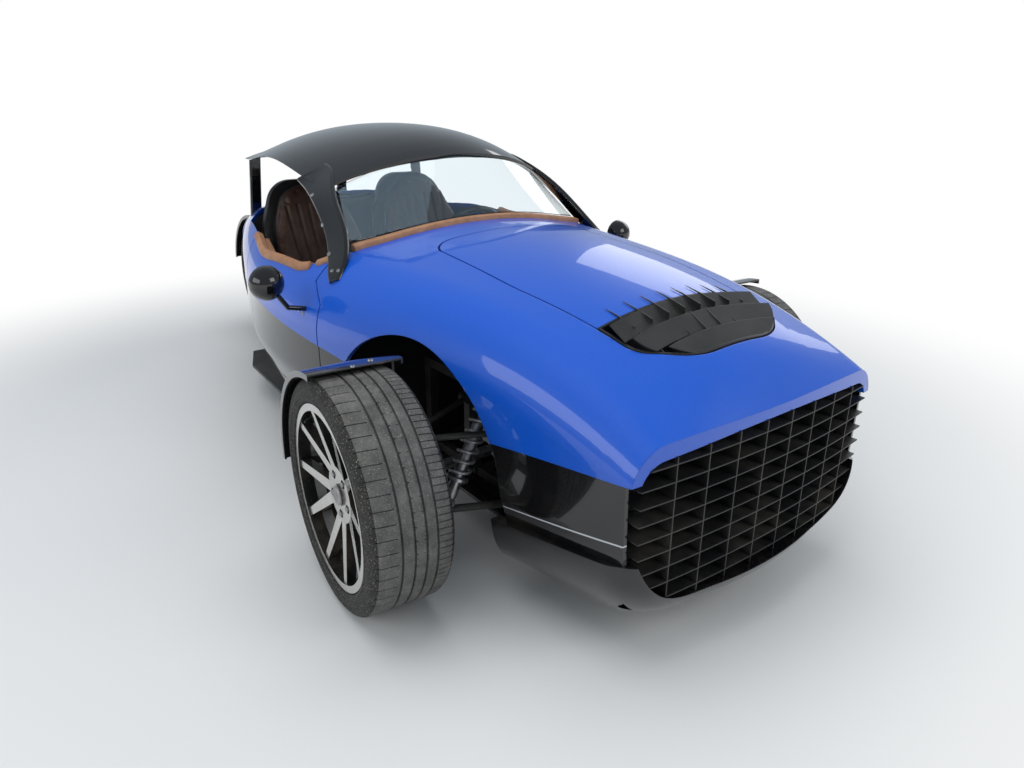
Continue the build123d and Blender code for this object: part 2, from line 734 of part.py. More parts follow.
def post(foot_y, top_y, foot_z, top_z):
    """Rear roof post, a flat bar that leans in towards the top."""
    faces = []
    for y, z in ((foot_y, foot_z), (top_y, top_z)):
        wire = rounded([(POST_X + u * POST_THICKNESS / 2, y + v * POST_WIDTH / 2, 6.0)
                        for u, v in CORNERS])
        faces.append(Plane.XY.offset(z) * Face(wire))
    return loft(faces, ruled=True)


def roof_posts():
    """Two side posts and one in the middle, between the tail and the roof."""
    side = post(POST_FOOT_Y, POST_TOP_Y, 740, 1130)
    centre = post(0, 0, 800, 1180)
    posts = group(side, other_side(side), centre)
    solids = []
    for solid in posts.solids():
        clear = solid - body(-SEAT_GAP) - Pos(0, 0, -SEAT_GAP) * roof_shell()
        solids.append(max(clear.solids(), key=lambda s: s.volume))
    return Compound(children=solids)


def seat_profile(thickness, offset):
    """Side outline of a seat back between its foot and top."""
    foot, top = Vector(*SEAT_BACK_FOOT), Vector(*SEAT_BACK_TOP)
    normal = Vector(top.Y - foot.Y, foot.X - top.X).normalized()
    a, b = foot + normal * offset, top + normal * offset
    return polygon([(p.X, p.Y) for p in (a, b, b + normal * thickness, a + normal * thickness)])


def seat_outline(width):
    """Front outline of a seat back, round at the top."""
    half = width / 2
    return rounded([(-half, SEAT_BASE_Z, 20), (half, SEAT_BASE_Z, 20),
                    (half - 8, 770, 300), (half - 96, SEAT_BACK_TOP[1], 120),
                    (96 - half, SEAT_BACK_TOP[1], 120), (8 - half, 770, 300)])


def seat_shell():
    """Rigid seat: raked back and pan."""
    back = across(seat_profile(SHELL_THICKNESS, 0)) & forwards(seat_outline(SEAT_WIDTH), -700, 500)
    pan = block((SEAT_BACK_FOOT[0] + 10, SEAT_CUSHION_FRONT_X), (-SEAT_WIDTH / 2, SEAT_WIDTH / 2),
                (SEAT_BASE_Z, SEAT_BASE_Z + SHELL_THICKNESS))
    feet = block((-130, 180), (-180, 180), (FLOOR_Z + SKIN + SEAT_GAP, SEAT_BASE_Z + 1))
    return Pos(0, SEAT_Y, 0) * (back + pan + feet)


def seat_pad():
    """Upholstery of one seat: back pad and cushion as two soft solids."""
    width = SEAT_WIDTH - 36
    back = across(seat_profile(PAD_THICKNESS, SHELL_THICKNESS + SEAT_GAP))
    outline = rounded([(-width / 2, SEAT_BASE_Z + 150, 30), (width / 2, SEAT_BASE_Z + 150, 30),
                       (width / 2 - 6, 762, 290), (width / 2 - 92, SEAT_BACK_TOP[1] - 14, 112),
                       (92 - width / 2, SEAT_BACK_TOP[1] - 14, 112), (6 - width / 2, 762, 290)])
    back = back & forwards(outline, -700, 500)
    low = SEAT_BASE_Z + SHELL_THICKNESS + SEAT_GAP
    cushion = block((SEAT_BACK_FOOT[0] + 45, SEAT_CUSHION_FRONT_X), (-width / 2, width / 2),
                    (low, low + 110))
    return Pos(0, SEAT_Y, 0) * group(back, cushion)


def tyre(radius, width):
    """Tyre with its round grooves, axis along Y, centred on the wheel's middle plane."""
    half = width / 2
    tread = half - TYRE_SHOULDER
    bead = half - RIM_EDGE - 10 - SEAT_GAP
    pitch = 2 * tread / (TREAD_GROOVES + 1)
    outline = [(bead, BEAD_RADIUS + SEAT_GAP), (bead, RIM_RADIUS + 1), (half - 3, RIM_RADIUS + 5),
               (half, BEAD_RADIUS + 34),
               (half - 4, radius - 26), (tread + 10, radius - 9), (tread, radius)]
    grooves = []
    for i in range(TREAD_GROOVES):
        u = tread - (i + 1) * pitch
        for offset, depth in ((GROOVE_WIDTH / 2, 0), (GROOVE_WIDTH / 3, GROOVE_DEPTH),
                              (-GROOVE_WIDTH / 3, GROOVE_DEPTH), (-GROOVE_WIDTH / 2, 0)):
            grooves.append((u + offset, radius - depth))
    points = outline + grooves + [(-u, r) for u, r in outline[::-1]]
    plane = Plane(origin=(0, 0, 0), x_dir=(0, 1, 0), z_dir=(1, 0, 0))
    return revolve(plane * Face(polygon(points)), Axis.Y)


def rim(tyre_width):
    """Barrel, flanges and five pairs of thin spokes round a hub pad, face to +Y."""
    half = tyre_width / 2 - RIM_EDGE
    well = BEAD_RADIUS - 26
    points = [
        (half, RIM_RADIUS), (half - 8, RIM_RADIUS), (half - 10, BEAD_RADIUS), (half - 40, BEAD_RADIUS),
        (half - 62, well), (30 - half, well), (14 - half, BEAD_RADIUS), (10 - half, BEAD_RADIUS),
        (8 - half, RIM_RADIUS), (-half, RIM_RADIUS), (-half, BEAD_RADIUS - RIM_WALL),
        (14 - half, BEAD_RADIUS - RIM_WALL), (32 - half, well - RIM_WALL),
        (half - 58, well - RIM_WALL), (half - 36, BEAD_RADIUS - RIM_WALL), (half, BEAD_RADIUS - RIM_WALL)]
    plane = Plane(origin=(0, 0, 0), x_dir=(0, 1, 0), z_dir=(1, 0, 0))
    barrel = revolve(plane * Face(polygon(points)), Axis.Y)
    face = rim_face(half)
    return barrel + face


def rim_face(half):
    """Spokes and pad between a dished front and a dished back."""
    reach = BEAD_RADIUS - RIM_WALL + 4
    face_plane = Plane(origin=(0, 0, 0), x_dir=(1, 0, 0), z_dir=(0, 1, 0))
    star = None
    for i in range(SPOKE_PAIRS):
        middle = radians(90 + i * 360 / SPOKE_PAIRS)
        for side in (-1, 1):
            tip_angle = middle + side * radians(SPOKE_SPREAD)
            root_angle = middle + side * radians(7.0)
            root = Vector(PAD_RADIUS * 0.62 * cos(root_angle), PAD_RADIUS * 0.62 * sin(root_angle))
            tip = Vector(reach * cos(tip_angle), reach * sin(tip_angle))
            normal = (tip - root).normalized().rotate(Axis.Z, 90)
            corners = (root + normal * SPOKE_ROOT, tip + normal * SPOKE_TIP,
                       tip - normal * SPOKE_TIP, root - normal * SPOKE_ROOT)
            outline = Face(polygon([(c.X, c.Y) for c in corners]))
            spoke = extrude(face_plane * outline, half + 10, dir=(0, 1, 0))
            star = spoke if star is None else star + spoke
    star += extrude(face_plane * Circle(PAD_RADIUS), half + 10, dir=(0, 1, 0))
    front_hub, front_rim = half - 34, half - 4
    dish = [(front_hub - 30, 0), (front_hub, 0), (front_hub, PAD_RADIUS),
            (front_rim, reach + 2), (front_rim - SPOKE_DEPTH, reach + 2), (front_hub - 30, PAD_RADIUS)]
    plane = Plane(origin=(0, 0, 0), x_dir=(0, 1, 0), z_dir=(1, 0, 0))
    star = star & revolve(plane * Face(polygon(dish)), Axis.Y)
    for i in range(SPOKE_PAIRS):
        angle = radians(90 + (i + 0.5) * 360 / SPOKE_PAIRS)
        centre = (LUG_CIRCLE * cos(angle), front_hub, LUG_CIRCLE * sin(angle))
        star -= drum(centre, (0, 1, 0), LUG_RADIUS, 28)
    return star + drum((0, front_hub, 0), (0, 1, 0), CAP_RADIUS, 12)


def hub(tyre_width, axle_radius):
    """Hub with its flange behind the rim's pad, and the brake disc."""
    mount = tyre_width / 2 - RIM_EDGE - 34 - 30 - SEAT_GAP
    low = -58.0
    piece = drum((0, (mount + low) / 2, 0), (0, 1, 0), HUB_RADIUS, mount - low)
    piece += drum((0, mount - FLANGE_THICKNESS / 2, 0), (0, 1, 0), FLANGE_RADIUS, FLANGE_THICKNESS)
    piece += drum((0, low + 8 + DISC_THICKNESS / 2, 0), (0, 1, 0), DISC_RADIUS, DISC_THICKNESS)
    return piece - drum((0, low, 0), (0, 1, 0), axle_radius + RUNNING_FIT, 2 * 90)


def knuckle():
    """Upright with spindle, steering arm, brake caliper and fender bracket."""
    inner = KINGPIN_Y - HALF_TRACK
    width = KNUCKLE_WIDTH / 2
    low = LOWER_BALL_Z + BALL_HEIGHT / 2 + SEAT_GAP - FRONT_TYRE_RADIUS
    high = UPPER_BALL_Z - BALL_HEIGHT / 2 - SEAT_GAP - FRONT_TYRE_RADIUS
    piece = block((-width, width), (inner - width, inner + width), (low, high))
    piece += drum((0, inner + width / 2 + 6, 0), (0, 1, 0), 38, 32)
    piece += rod((0, inner, 0), (0, 28, 0), SPINDLE_RADIUS)
    plate_low = ARM_PLATE_Z - FRONT_TYRE_RADIUS
    piece += block((-STEERING_ARM, 0), (inner - 12, inner + 12), (plate_low, plate_low + ARM_PLATE))
    piece += drum((-STEERING_ARM, inner, plate_low + ARM_PLATE / 2), (0, 0, 1), ARM_EYE, ARM_PLATE)
    piece += caliper(inner)
    piece += fender_bracket(inner)
    for z, side in ((low, 1), (high, -1)):
        piece -= drum((0, inner, z + side * 8), (0, 0, 1), BALL_PIN + RUNNING_FIT, 20)
    return piece


def caliper(inner):
    """Brake caliper over the disc's rear edge, on a short lug."""
    disc_middle = -50 + DISC_THICKNESS / 2
    body_part = block((-188, -112), (disc_middle - 30, disc_middle + 30), (-52, 52))
    slot = drum((0, disc_middle, 0), (0, 1, 0), DISC_RADIUS + 6, DISC_THICKNESS + 6)
    lug = block((-125, 0), (inner + 8, inner + 26), (-30, 30))
    tie = block((-150, -112), (inner + 8, disc_middle - 20), (-30, 30))
    return (body_part - slot) + lug + tie


def fender_bracket(inner):
    """Strut from the upright up to the fender's underside, inside of the tyre."""
    seat = FRONT_TYRE_RADIUS + FENDER_GAP - SEAT_GAP
    y = -FRONT_TYRE_WIDTH / 2 - FENDER_OVERHANG / 2 + 1.75
    reach = sqrt(seat ** 2 - 30 ** 2)
    strut = block((-75, -50), (y - 3.25, y + 3.25), (40, 300))
    foot = block((-75, 0), (y - 3.25, inner + 20), (40, 62))
    top = block((-75, -50), (y - 3.25, y + 3.25), (200, reach)) & drum((0, y, 0), (0, 1, 0), seat, 40)
    return strut + foot + top


def inside(prism):
    """Part of a prism that fits inside the body's skin."""
    return prism & body(SKIN + SEAT_GAP)


def door_side(prism):
    """Left half of a prism across the car."""
    return prism & block((-WIDE, 2 * WIDE), (50, WIDE), (0, TALL))


def door_skin():
    piece = (body(0) - body(DOOR_WALL)) & above_belt()
    piece = piece & door_side(door_prism(-PANEL_GAP / 2))
    return piece - cockpit_prism()


def door_lower():
    piece = (body(LOWER_STEP) - body(DOOR_WALL)) - above_belt(SEAT_GAP)
    return piece & door_side(door_prism(-PANEL_GAP / 2))


def door_trim():
    """Padded roll along the door's inner top edge."""
    band = cockpit_prism(COAMING + SEAT_GAP) - cockpit_prism(COAMING + DOOR_TRIM_WIDTH)
    low, high = [], []
    for x in (DOOR_REAR_X + PANEL_GAP / 2, 200.0, DOOR_TRIM_FRONT_X):
        z = wall_top_z(x)
        high.append((x, z + 6))
        low.append((x, z + 6 - DOOR_TRIM_DEPTH))
    return band & door_side(across(polygon(high + low[::-1])))


def wall_top_z(x):
    """Height of the body's surface over the coaming's inner edge."""
    apex, half, corner, radius = (interpolated(x, column) for column in (1, 2, 3, 4))
    slope = atan2(apex - corner, half)
    turn = (pi / 2 - slope) / 2
    reach = radius * tan(turn)
    centre_y = half - radius
    centre_z = corner - reach
    across_y = half - COAMING - centre_y
    return centre_z + sqrt(radius ** 2 - across_y ** 2)


def mirror_piece():
    """Door mirror: egg-shaped shell on a stalk that meets the door's skin."""
    x, y, z = MIRROR_HEAD
    plane = Plane(origin=(x, y, z), x_dir=(1, 0, 0), z_dir=(0, -1, 0))
    rear, nose = -14.0, 42.0
    profile = Wire([
        Edge.make_line((rear, 0), (rear, MIRROR_RADIUS)),
        Edge.make_three_point_arc((rear, MIRROR_RADIUS), (nose * 0.7, MIRROR_RADIUS * 0.66), (nose, 0)),
        Edge.make_line((nose, 0), (rear, 0))])
    head = revolve(plane * Face(profile), Axis((x, y, z), (1, 0, 0)))
    foot_x, foot_y, foot_z = MIRROR_FOOT
    stalk = rod((foot_x, foot_y - 90, foot_z - 20), (foot_x, foot_y, foot_z), MIRROR_STALK)
    stalk += rod((foot_x, foot_y, foot_z), (x, y, z), MIRROR_STALK)
    stalk += Pos(foot_x, foot_y, foot_z) * Sphere(MIRROR_STALK)
    stalk = stalk - body(-SEAT_GAP)
    stalk = max(stalk.solids(), key=lambda solid: solid.center().Z)
    return head + stalk


def door_frames():
    """Door jambs inside the skin, with buffers on the sill that the door rests on."""
    ring = door_side(door_prism(JAMB) - door_prism(PANEL_GAP / 2))
    ring = ring & block((-WIDE, WIDE), (50, WIDE), (DOOR_SILL_Z - JAMB, DOOR_NOSE_Z - 30))
    piece = (ring & body(SKIN + SEAT_GAP)) - body(DOOR_WALL)
    for x in (60, 480):
        y = interpolated(x, 5) - DOOR_WALL - 22
        piece += block((x - 20, x + 20), (y - 9, y + 9),
                       (DOOR_SILL_Z - PANEL_GAP, DOOR_SILL_Z + PANEL_GAP / 2 - SEAT_GAP))
    return pair(piece)


def tub():
    """Firewall, console between the seats, raked bulkhead and the shelf behind it."""
    low = FLOOR_Z + SKIN
    firewall = block((FIREWALL_X, FIREWALL_X + PLATE_WALL), (-WIDE, WIDE), (low, TALL))
    console = block((bulkhead_x(low) - 2, FIREWALL_X + 1), (-CONSOLE_HALF, CONSOLE_HALF),
                    (low, CONSOLE_TOP_Z))
    foot_x, top_x = bulkhead_x(low), bulkhead_x(BULKHEAD_TOP_Z)
    raked = across(polygon(((foot_x, low), (top_x, BULKHEAD_TOP_Z),
                            (SHELF_REAR_X, BULKHEAD_TOP_Z), (SHELF_REAR_X, BULKHEAD_TOP_Z - PLATE_WALL),
                            (top_x - PLATE_WALL, BULKHEAD_TOP_Z - PLATE_WALL),
                            (foot_x - PLATE_WALL, low))))
    liner = firewall + console + raked
    for side in (-1, 1):
        liner += block((FIREWALL_X + 1, LID_REAR_X + 45), (side * 230 - 10, side * 230 + 10), (780, TALL))
    return inside(liner)


def bulkhead_x(z):
    """Station of the bulkhead's front face at a height, parallel to the seat backs."""
    (foot_x, foot_z), (top_x, top_z) = SEAT_BACK_FOOT, SEAT_BACK_TOP
    return foot_x + (z - foot_z) * (top_x - foot_x) / (top_z - foot_z) - BULKHEAD_GAP


def dashboard():
    """Dash between the doors with the steering column's shroud."""
    profile = rounded(((DASH_X, DASH_LOW_Z + 70, 20), (DASH_X, DASH_TOP_Z - 20, 25),
                       (DASH_X + 60, DASH_TOP_Z + 6, 60), (FIREWALL_X - SEAT_GAP, DASH_TOP_Z + 20, 2),
                       (FIREWALL_X - SEAT_GAP, DASH_LOW_Z, 2), (DASH_X + 70, DASH_LOW_Z, 25)))
    dash = across(profile, DASH_HALF) & (Pos(0, 0, -6) * body(TRIM_SINK))
    axis = column_axis()
    start = Vector(*WHEEL_CENTRE) + axis * 30.0
    shroud = rod(start, start + axis * 330.0, COLUMN_RADIUS)
    return dash + shroud


def column_axis():
    tilt = radians(WHEEL_TILT)
    return Vector(cos(tilt), 0, -sin(tilt))


def steering_wheel():
    """Padded rim on three flat spokes and a round boss."""
    plane = Plane(origin=WHEEL_CENTRE, x_dir=(0, 1, 0), z_dir=column_axis())
    wheel = Torus(WHEEL_RADIUS, WHEEL_RIM)
    wheel += Cylinder(WHEEL_BOSS, 36)
    for angle in (0, 90, 180):
        spoke = Pos((WHEEL_BOSS + WHEEL_RADIUS) / 2 - 10, 0, 0) * Box(WHEEL_RADIUS - WHEEL_BOSS + 20, 30, 8)
        wheel += Rot(0, 0, angle) * spoke
    return plane * Rot(0, 0, STEERING_RATIO * PARKED_STEER) * wheel


def front_arms():
    """Upper and lower wishbones, each with its ball housing, pin and frame bushes."""
    arms = []
    inner_y = RAIL_Y + RAIL / 2 + 24
    for z, tube, pin_way in ((LOWER_BALL_Z, LOWER_ARM_TUBE, 1), (UPPER_BALL_Z, UPPER_ARM_TUBE, -1)):
        ball = (FRONT_AXLE_X, KINGPIN_Y, z)
        arm = drum(ball, (0, 0, 1), BALL_RADIUS, BALL_HEIGHT)
        arm += drum((FRONT_AXLE_X, KINGPIN_Y, z + pin_way * 20), (0, 0, 1), BALL_PIN, 20)
        for way in (-1, 1):
            bush = (FRONT_AXLE_X + way * ARM_SPREAD, inner_y, z)
            arm += rod((FRONT_AXLE_X, KINGPIN_Y - BALL_RADIUS / 2, z), bush, tube)
            arm += drum(bush, (1, 0, 0), tube + 6, 40)
        arms.append(arm)
    return pair(group(*arms))


def front_frame():
    """Side frames of square tube that carry the engine, arms, rack housing and nose."""
    half = RAIL / 2
    wide = (RAIL_Y - half, RAIL_Y + half)
    side = block((FIREWALL_X + 35, FRAME_NOSE_X), wide, (RAIL_LOW_Z - half, RAIL_LOW_Z + half))
    side += block((FIREWALL_X + 35, LAMP_BACK_X), wide, (RAIL_HIGH_Z - half, RAIL_HIGH_Z + half))
    for x in (FIREWALL_X + 50, 940, FRONT_AXLE_X + 200, RADIATOR_BAR_X):
        side += block((x - half, x + half), (RAIL_Y - half, RAIL_Y + half), (RAIL_LOW_Z, RAIL_HIGH_Z))
    for z in (LOWER_BALL_Z, UPPER_BALL_Z):
        for way in (-1, 1):
            x = FRONT_AXLE_X + way * ARM_SPREAD
            reach = (LOWER_ARM_TUBE if z == LOWER_BALL_Z else UPPER_ARM_TUBE) + 6
            seat_y = RAIL_Y + half + 24 - reach - SEAT_GAP
            rail_z = RAIL_LOW_Z if z == LOWER_BALL_Z else RAIL_HIGH_Z
            side += block((x - 20, x + 20), (RAIL_Y, seat_y), (min(z, rail_z) - 12, max(z, rail_z) + 12))
    side += block((FRONT_AXLE_X + DAMPER_X - 25, FRONT_AXLE_X + DAMPER_X + 25),
                  (RAIL_Y - half, RAIL_Y + 44), (RAIL_HIGH_Z, DAMPER_HEAD_Z + 20))
    side += block((FRONT_AXLE_X - STEERING_ARM - 26, FRONT_AXLE_X - STEERING_ARM + 26),
                  (RACK_HOUSING_HALF - 40, RAIL_Y - half), (RAIL_LOW_Z - half, RAIL_LOW_Z + half))
    return pair(side)


def front_crossbars():
    """Bars between the front rails: two low ones and two high ones."""
    half = RAIL / 2
    reach = RAIL_Y - half
    bars = []
    for x, z in ((FIREWALL_X + 50, RAIL_LOW_Z), (FRAME_NOSE_X - half, RAIL_LOW_Z),
                 (FIREWALL_X + 50, RAIL_HIGH_Z), (RADIATOR_BAR_X, RAIL_HIGH_Z)):
        bars.append(block((x - half, x + half), (-reach, reach), (z - half, z + half)))
    return group(*bars)


def rack_housing():
    """Steering rack's tube, on two feet that stand on the frame's brackets."""
    x = FRONT_AXLE_X - STEERING_ARM
    tube = drum((x, 0, TIE_ROD_Z), (0, 1, 0), RACK_HOUSING, 2 * RACK_HOUSING_HALF)
    for side in (-1, 1):
        tube += block((x - 18, x + 18), (side * 195 - 12, side * 195 + 12),
                      (RAIL_LOW_Z + RAIL / 2 + SEAT_GAP, TIE_ROD_Z))
    return tube - drum((x, 0, TIE_ROD_Z), (0, 1, 0), RACK_RADIUS + RUNNING_FIT, 2 * RACK_HOUSING_HALF + 2)


def tie_rods():
    """Rack bar with both tie rods, shifted to the parked steering angle."""
    x = FRONT_AXLE_X - STEERING_ARM
    shift = STEERING_ARM * sin(radians(PARKED_STEER))
    bar = drum((x, shift, TIE_ROD_Z), (0, 1, 0), RACK_RADIUS, 2 * RACK_HALF + 160)
    bar += drum((x, shift, TIE_ROD_Z), (0, 1, 0), TIE_ROD_RADIUS, 2 * KINGPIN_Y)
    return bar


def dampers():
    """Front spring and damper units from the lower arms to the frame's towers."""
    x = FRONT_AXLE_X + DAMPER_X
    foot = Vector(x, DAMPER_FOOT_Y, DAMPER_FOOT_Z)
    head = Vector(x, RAIL_Y + 44 + SEAT_GAP + DAMPER_EYE, DAMPER_HEAD_Z)
    along = (head - foot).normalized()
    unit = drum(foot, (1, 0, 0), DAMPER_EYE, 26)
    unit += drum(head, (1, 0, 0), DAMPER_EYE, 30)
    unit += rod(foot, head, DAMPER_ROD)
    unit += rod(foot + along * 50, head - along * 45, SPRING_RADIUS)
    return pair(unit)


def engine():
    half = RAIL_Y - RAIL / 2 - SEAT_GAP
    return block((ENGINE_REAR_X, ENGINE_FRONT_X), (-half, half), (ENGINE_LOW_Z, ENGINE_TOP_Z))


def half_shafts():
    """Drive shafts from the engine to the joints inside the uprights."""
    x, z = FRONT_AXLE_X, FRONT_TYRE_RADIUS
    start = RAIL_Y - RAIL / 2
    end = KINGPIN_Y - KNUCKLE_WIDTH / 2 - 17
    shaft = rod((x, start, z), (x, end, z), SHAFT_RADIUS)
    shaft += rod((x, start, z), (x, start + 48, z), JOINT_RADIUS)
    shaft += rod((x, end - 42, z), (x, end, z), JOINT_RADIUS)
    return pair(shaft)


def radiator():
    x = RADIATOR_BAR_X + RAIL / 2 + SEAT_GAP
    half = RAIL_Y - RAIL / 2 - SEAT_GAP
    core = block((x, x + 40), (-half, half), (RAIL_LOW_Z + RAIL / 2 + SEAT_GAP, 600))
    return inside(core)


def headlamps():
    """Round lamps behind the grille's upper corners, on the ends of the upper rails."""
    rear = LAMP_BACK_X + 26
    face = NOSE_X - NOSE_BOW - GRILLE_DEPTH - LENS_RISE - 10
    dome = (LAMP_RADIUS ** 2 + LENS_RISE ** 2) / (2 * LENS_RISE)
    upright = Cone(LAMP_BOWL, LAMP_RADIUS, face - 10 - rear, align=STANDING)
    upright += Pos(0, 0, face - 10 - rear) * Cylinder(LAMP_RADIUS, 10, align=STANDING)
    cap = Sphere(dome) & Pos(0, 0, dome - LENS_RISE) * Box(WIDE, WIDE, WIDE, align=STANDING)
    upright += Pos(0, 0, face - rear + LENS_RISE - dome) * cap
    lamp = Pos(rear, LAMP_Y, LAMP_Z) * Rot(0, 90, 0) * upright
    lamp += block((LAMP_BACK_X + SEAT_GAP, rear + 5), (RAIL_Y + 1, RAIL_Y + 14),
                  (LAMP_Z - 22, LAMP_Z + 4))
    return pair(lamp)


def crash_bar():
    """Bright beam across the frame's front, seen through the grille."""
    x = FRAME_NOSE_X + SEAT_GAP
    return inside(block((x, x + 24), (-372, 372), (GRILLE_BOTTOM_Z + 12, GRILLE_BOTTOM_Z + 72)))


def side_skirts():
    """Flat black boards under the sills."""
    top = FLOOR_Z + LOWER_STEP - SEAT_GAP
    outline = polygon(((-700, 300), (-700, 452), (-510, 522), (-30, 545),
                       (560, 548), (560, 430), (-300, 400)))
    return pair(upwards(outline, top - SKIRT_THICKNESS, top))


def rear_frame():
    """Two rails under the tail with the swing arm's pivot plates and the damper's mast."""
    half = RAIL / 2
    low = RAIL_LOW_Z
    side = block((SWING_PIVOT_X - 30, -260), (REAR_RAIL_Y - half, REAR_RAIL_Y + half),
                 (low - half, low + half))
    side += block((SWING_PIVOT_X - 34, SWING_PIVOT_X + 34), (REAR_RAIL_Y - 6, REAR_RAIL_Y + 6),
                  (low, SWING_PIVOT_Z + 36))
    side += block((-775, -745), (REAR_RAIL_Y - half, REAR_RAIL_Y + half), (low, 600))
    frame = side + other_side(side)
    for x, z in ((-275, low), (-760, low), (-760, 585)):
        frame += block((x - half, x + half), (-REAR_RAIL_Y, REAR_RAIL_Y), (z - half, z + half))
    return frame - drum((SWING_PIVOT_X, 0, SWING_PIVOT_Z), (0, 1, 0), SWING_PIVOT_RADIUS + SEAT_GAP, 600)


def swing_arm():
    """Rear fork: pivot tube, two box arms, a bridge ahead of the tyre and the axle."""
    pivot = (SWING_PIVOT_X, 0, SWING_PIVOT_Z)
    fork = drum(pivot, (0, 1, 0), SWING_PIVOT_RADIUS, 2 * SWING_ARM_Y + SWING_ARM_WIDTH)
    slope = atan2(REAR_TYRE_RADIUS - SWING_PIVOT_Z, SWING_PIVOT_X - REAR_AXLE_X)
    for side in (-1, 1):
        y = side * SWING_ARM_Y
        outline = polygon(((SWING_PIVOT_X + 30, SWING_PIVOT_Z - SWING_ARM_HEIGHT / 2),
                           (SWING_PIVOT_X + 30, SWING_PIVOT_Z + SWING_ARM_HEIGHT / 2),
                           (REAR_AXLE_X - 36, REAR_TYRE_RADIUS + 30),
                           (REAR_AXLE_X - 36, REAR_TYRE_RADIUS - 30)))
        fork += Pos(0, y, 0) * across(outline, SWING_ARM_WIDTH / 2)
    bridge_x = REAR_AXLE_X + REAR_TYRE_RADIUS + 34
    bridge_z = SWING_PIVOT_Z + (SWING_PIVOT_X - bridge_x) * tan(slope)
    fork += block((bridge_x, bridge_x + 36), (-SWING_ARM_Y, SWING_ARM_Y), (bridge_z - 24, bridge_z + 24))
    axle = (REAR_AXLE_X, 0, REAR_TYRE_RADIUS)
    fork += drum(axle, (0, 1, 0), AXLE_RADIUS, 2 * SWING_ARM_Y)
    return fork - drum(axle, (0, 1, 0), AXLE_BORE, 2 * SWING_ARM_Y + 2 * SWING_ARM_WIDTH)


def rear_damper():
    """Centre spring and damper from the swing arm's bridge to the mast."""
    head = Vector(-775 - SEAT_GAP - DAMPER_EYE, 0, 585)
    bridge_x = REAR_AXLE_X + REAR_TYRE_RADIUS + 34 + 36
    foot = Vector(bridge_x - 18, 0, SWING_PIVOT_Z + 24 + 8 + SEAT_GAP + DAMPER_EYE)
    along = (head - foot).normalized()
    unit = drum(foot, (0, 1, 0), DAMPER_EYE, 26) + drum(head, (0, 1, 0), DAMPER_EYE, 30)
    unit += rod(foot, head, DAMPER_ROD)
    return unit + rod(foot + along * 34, head - along * 40, SPRING_RADIUS)


def rear_hub():
    """Rear hub with its flange and disc, running on the axle."""
    bore = drum((0, 0, 0), (0, 1, 0), AXLE_RADIUS + RUNNING_FIT, 2 * REAR_TYRE_WIDTH)
    return hub(REAR_TYRE_WIDTH, AXLE_RADIUS) - bore


def rear_rim():
    """Rear rim with room for the axle through its middle."""
    bore = drum((0, 0, 0), (0, 1, 0), AXLE_RADIUS + AXLE_ROOM, 2 * REAR_TYRE_WIDTH)
    return rim(REAR_TYRE_WIDTH) - bore


def guard_ring(radius, gap, half_in, half_out, start, end):
    """Mudguard: part of a ring round a tyre, with both edges turned in."""
    low = radius + gap
    high = low + FENDER_SKIN
    lip_r = low - FENDER_LIP
    profile = [(-half_in, high), (half_out, high), (half_out, lip_r), (half_out - FENDER_SKIN, lip_r),
               (half_out - FENDER_SKIN, low), (FENDER_SKIN - half_in, low),
               (FENDER_SKIN - half_in, lip_r), (-half_in, lip_r)]
    plane = Plane(origin=(0, 0, 0), x_dir=(0, 1, 0), z_dir=(1, 0, 0))
    ring = revolve(plane * Face(polygon(profile)), Axis.Y)
    far = 2 * high
    turns = [radians(start + (end - start) * i / 2) for i in range(3)]
    wedge = polygon([(0, 0)] + [(far * cos(a), far * sin(a)) for a in turns])
    return ring & across(wedge)


def fender():
    """Close black guard over the tyre's rear quarter."""
    half = FRONT_TYRE_WIDTH / 2
    return guard_ring(FRONT_TYRE_RADIUS, FENDER_GAP, half + FENDER_OVERHANG, half + 8,
                      FENDER_FRONT, FENDER_REAR)


def rear_fender():
    """Guard over the rear wheel on two stays that stand on the fork's arms."""
    half = REAR_TYRE_WIDTH / 2 + 14
    ring = guard_ring(REAR_TYRE_RADIUS, REAR_FENDER_GAP, half, half, REAR_FENDER_FRONT, REAR_FENDER_REAR)
    inner = REAR_TYRE_RADIUS + REAR_FENDER_GAP + FENDER_SKIN
    for side in (-1, 1):
        stay = block((-14, 14), (side * half - 4, side * half + 4), (30 + SEAT_GAP, inner - 3))
        foot = sorted((side * half, side * (half + 36)))
        stay += block((-22, 22), foot, (30 + SEAT_GAP, 38))
        ring += stay
    return Pos(REAR_AXLE_X, 0, REAR_TYRE_RADIUS) * ring


def tail_lamps():
    lamp = drum((TAIL_X - SEAT_GAP - 11, TAIL_LAMP_Y, TAIL_LAMP_Z), (1, 0, 0), TAIL_LAMP_RADIUS, 22)
    return pair(lamp)


def wheel_place(shape):
    """Put a left front wheel piece at its place with the car steered straight."""
    return Pos(FRONT_AXLE_X, HALF_TRACK, FRONT_TYRE_RADIUS) * shape


def parked(shape, side):
    """Turn a corner's piece about its kingpin to the parked steering angle."""
    y = side * KINGPIN_Y
    turn = Pos(FRONT_AXLE_X, y, 0) * Rot(0, 0, -PARKED_STEER) * Pos(-FRONT_AXLE_X, -y, 0)
    return turn * shape


def front_corner():
    """Nodes of one front corner, drawn on the left and steered straight."""
    return {
        "knuckle": knuckle(),
        "fender": fender(),
        "front_tyre": tyre(FRONT_TYRE_RADIUS, FRONT_TYRE_WIDTH),
        "front_rim": rim(FRONT_TYRE_WIDTH),
        "front_hub": hub(FRONT_TYRE_WIDTH, SPINDLE_RADIUS),
    }


def door():
    """Nodes of one door, drawn on the left."""
    return {
        "door_skin": door_skin(),
        "door_lower": door_lower(),
        "door_trim": door_trim(),
        "mirror": mirror_piece(),
    }


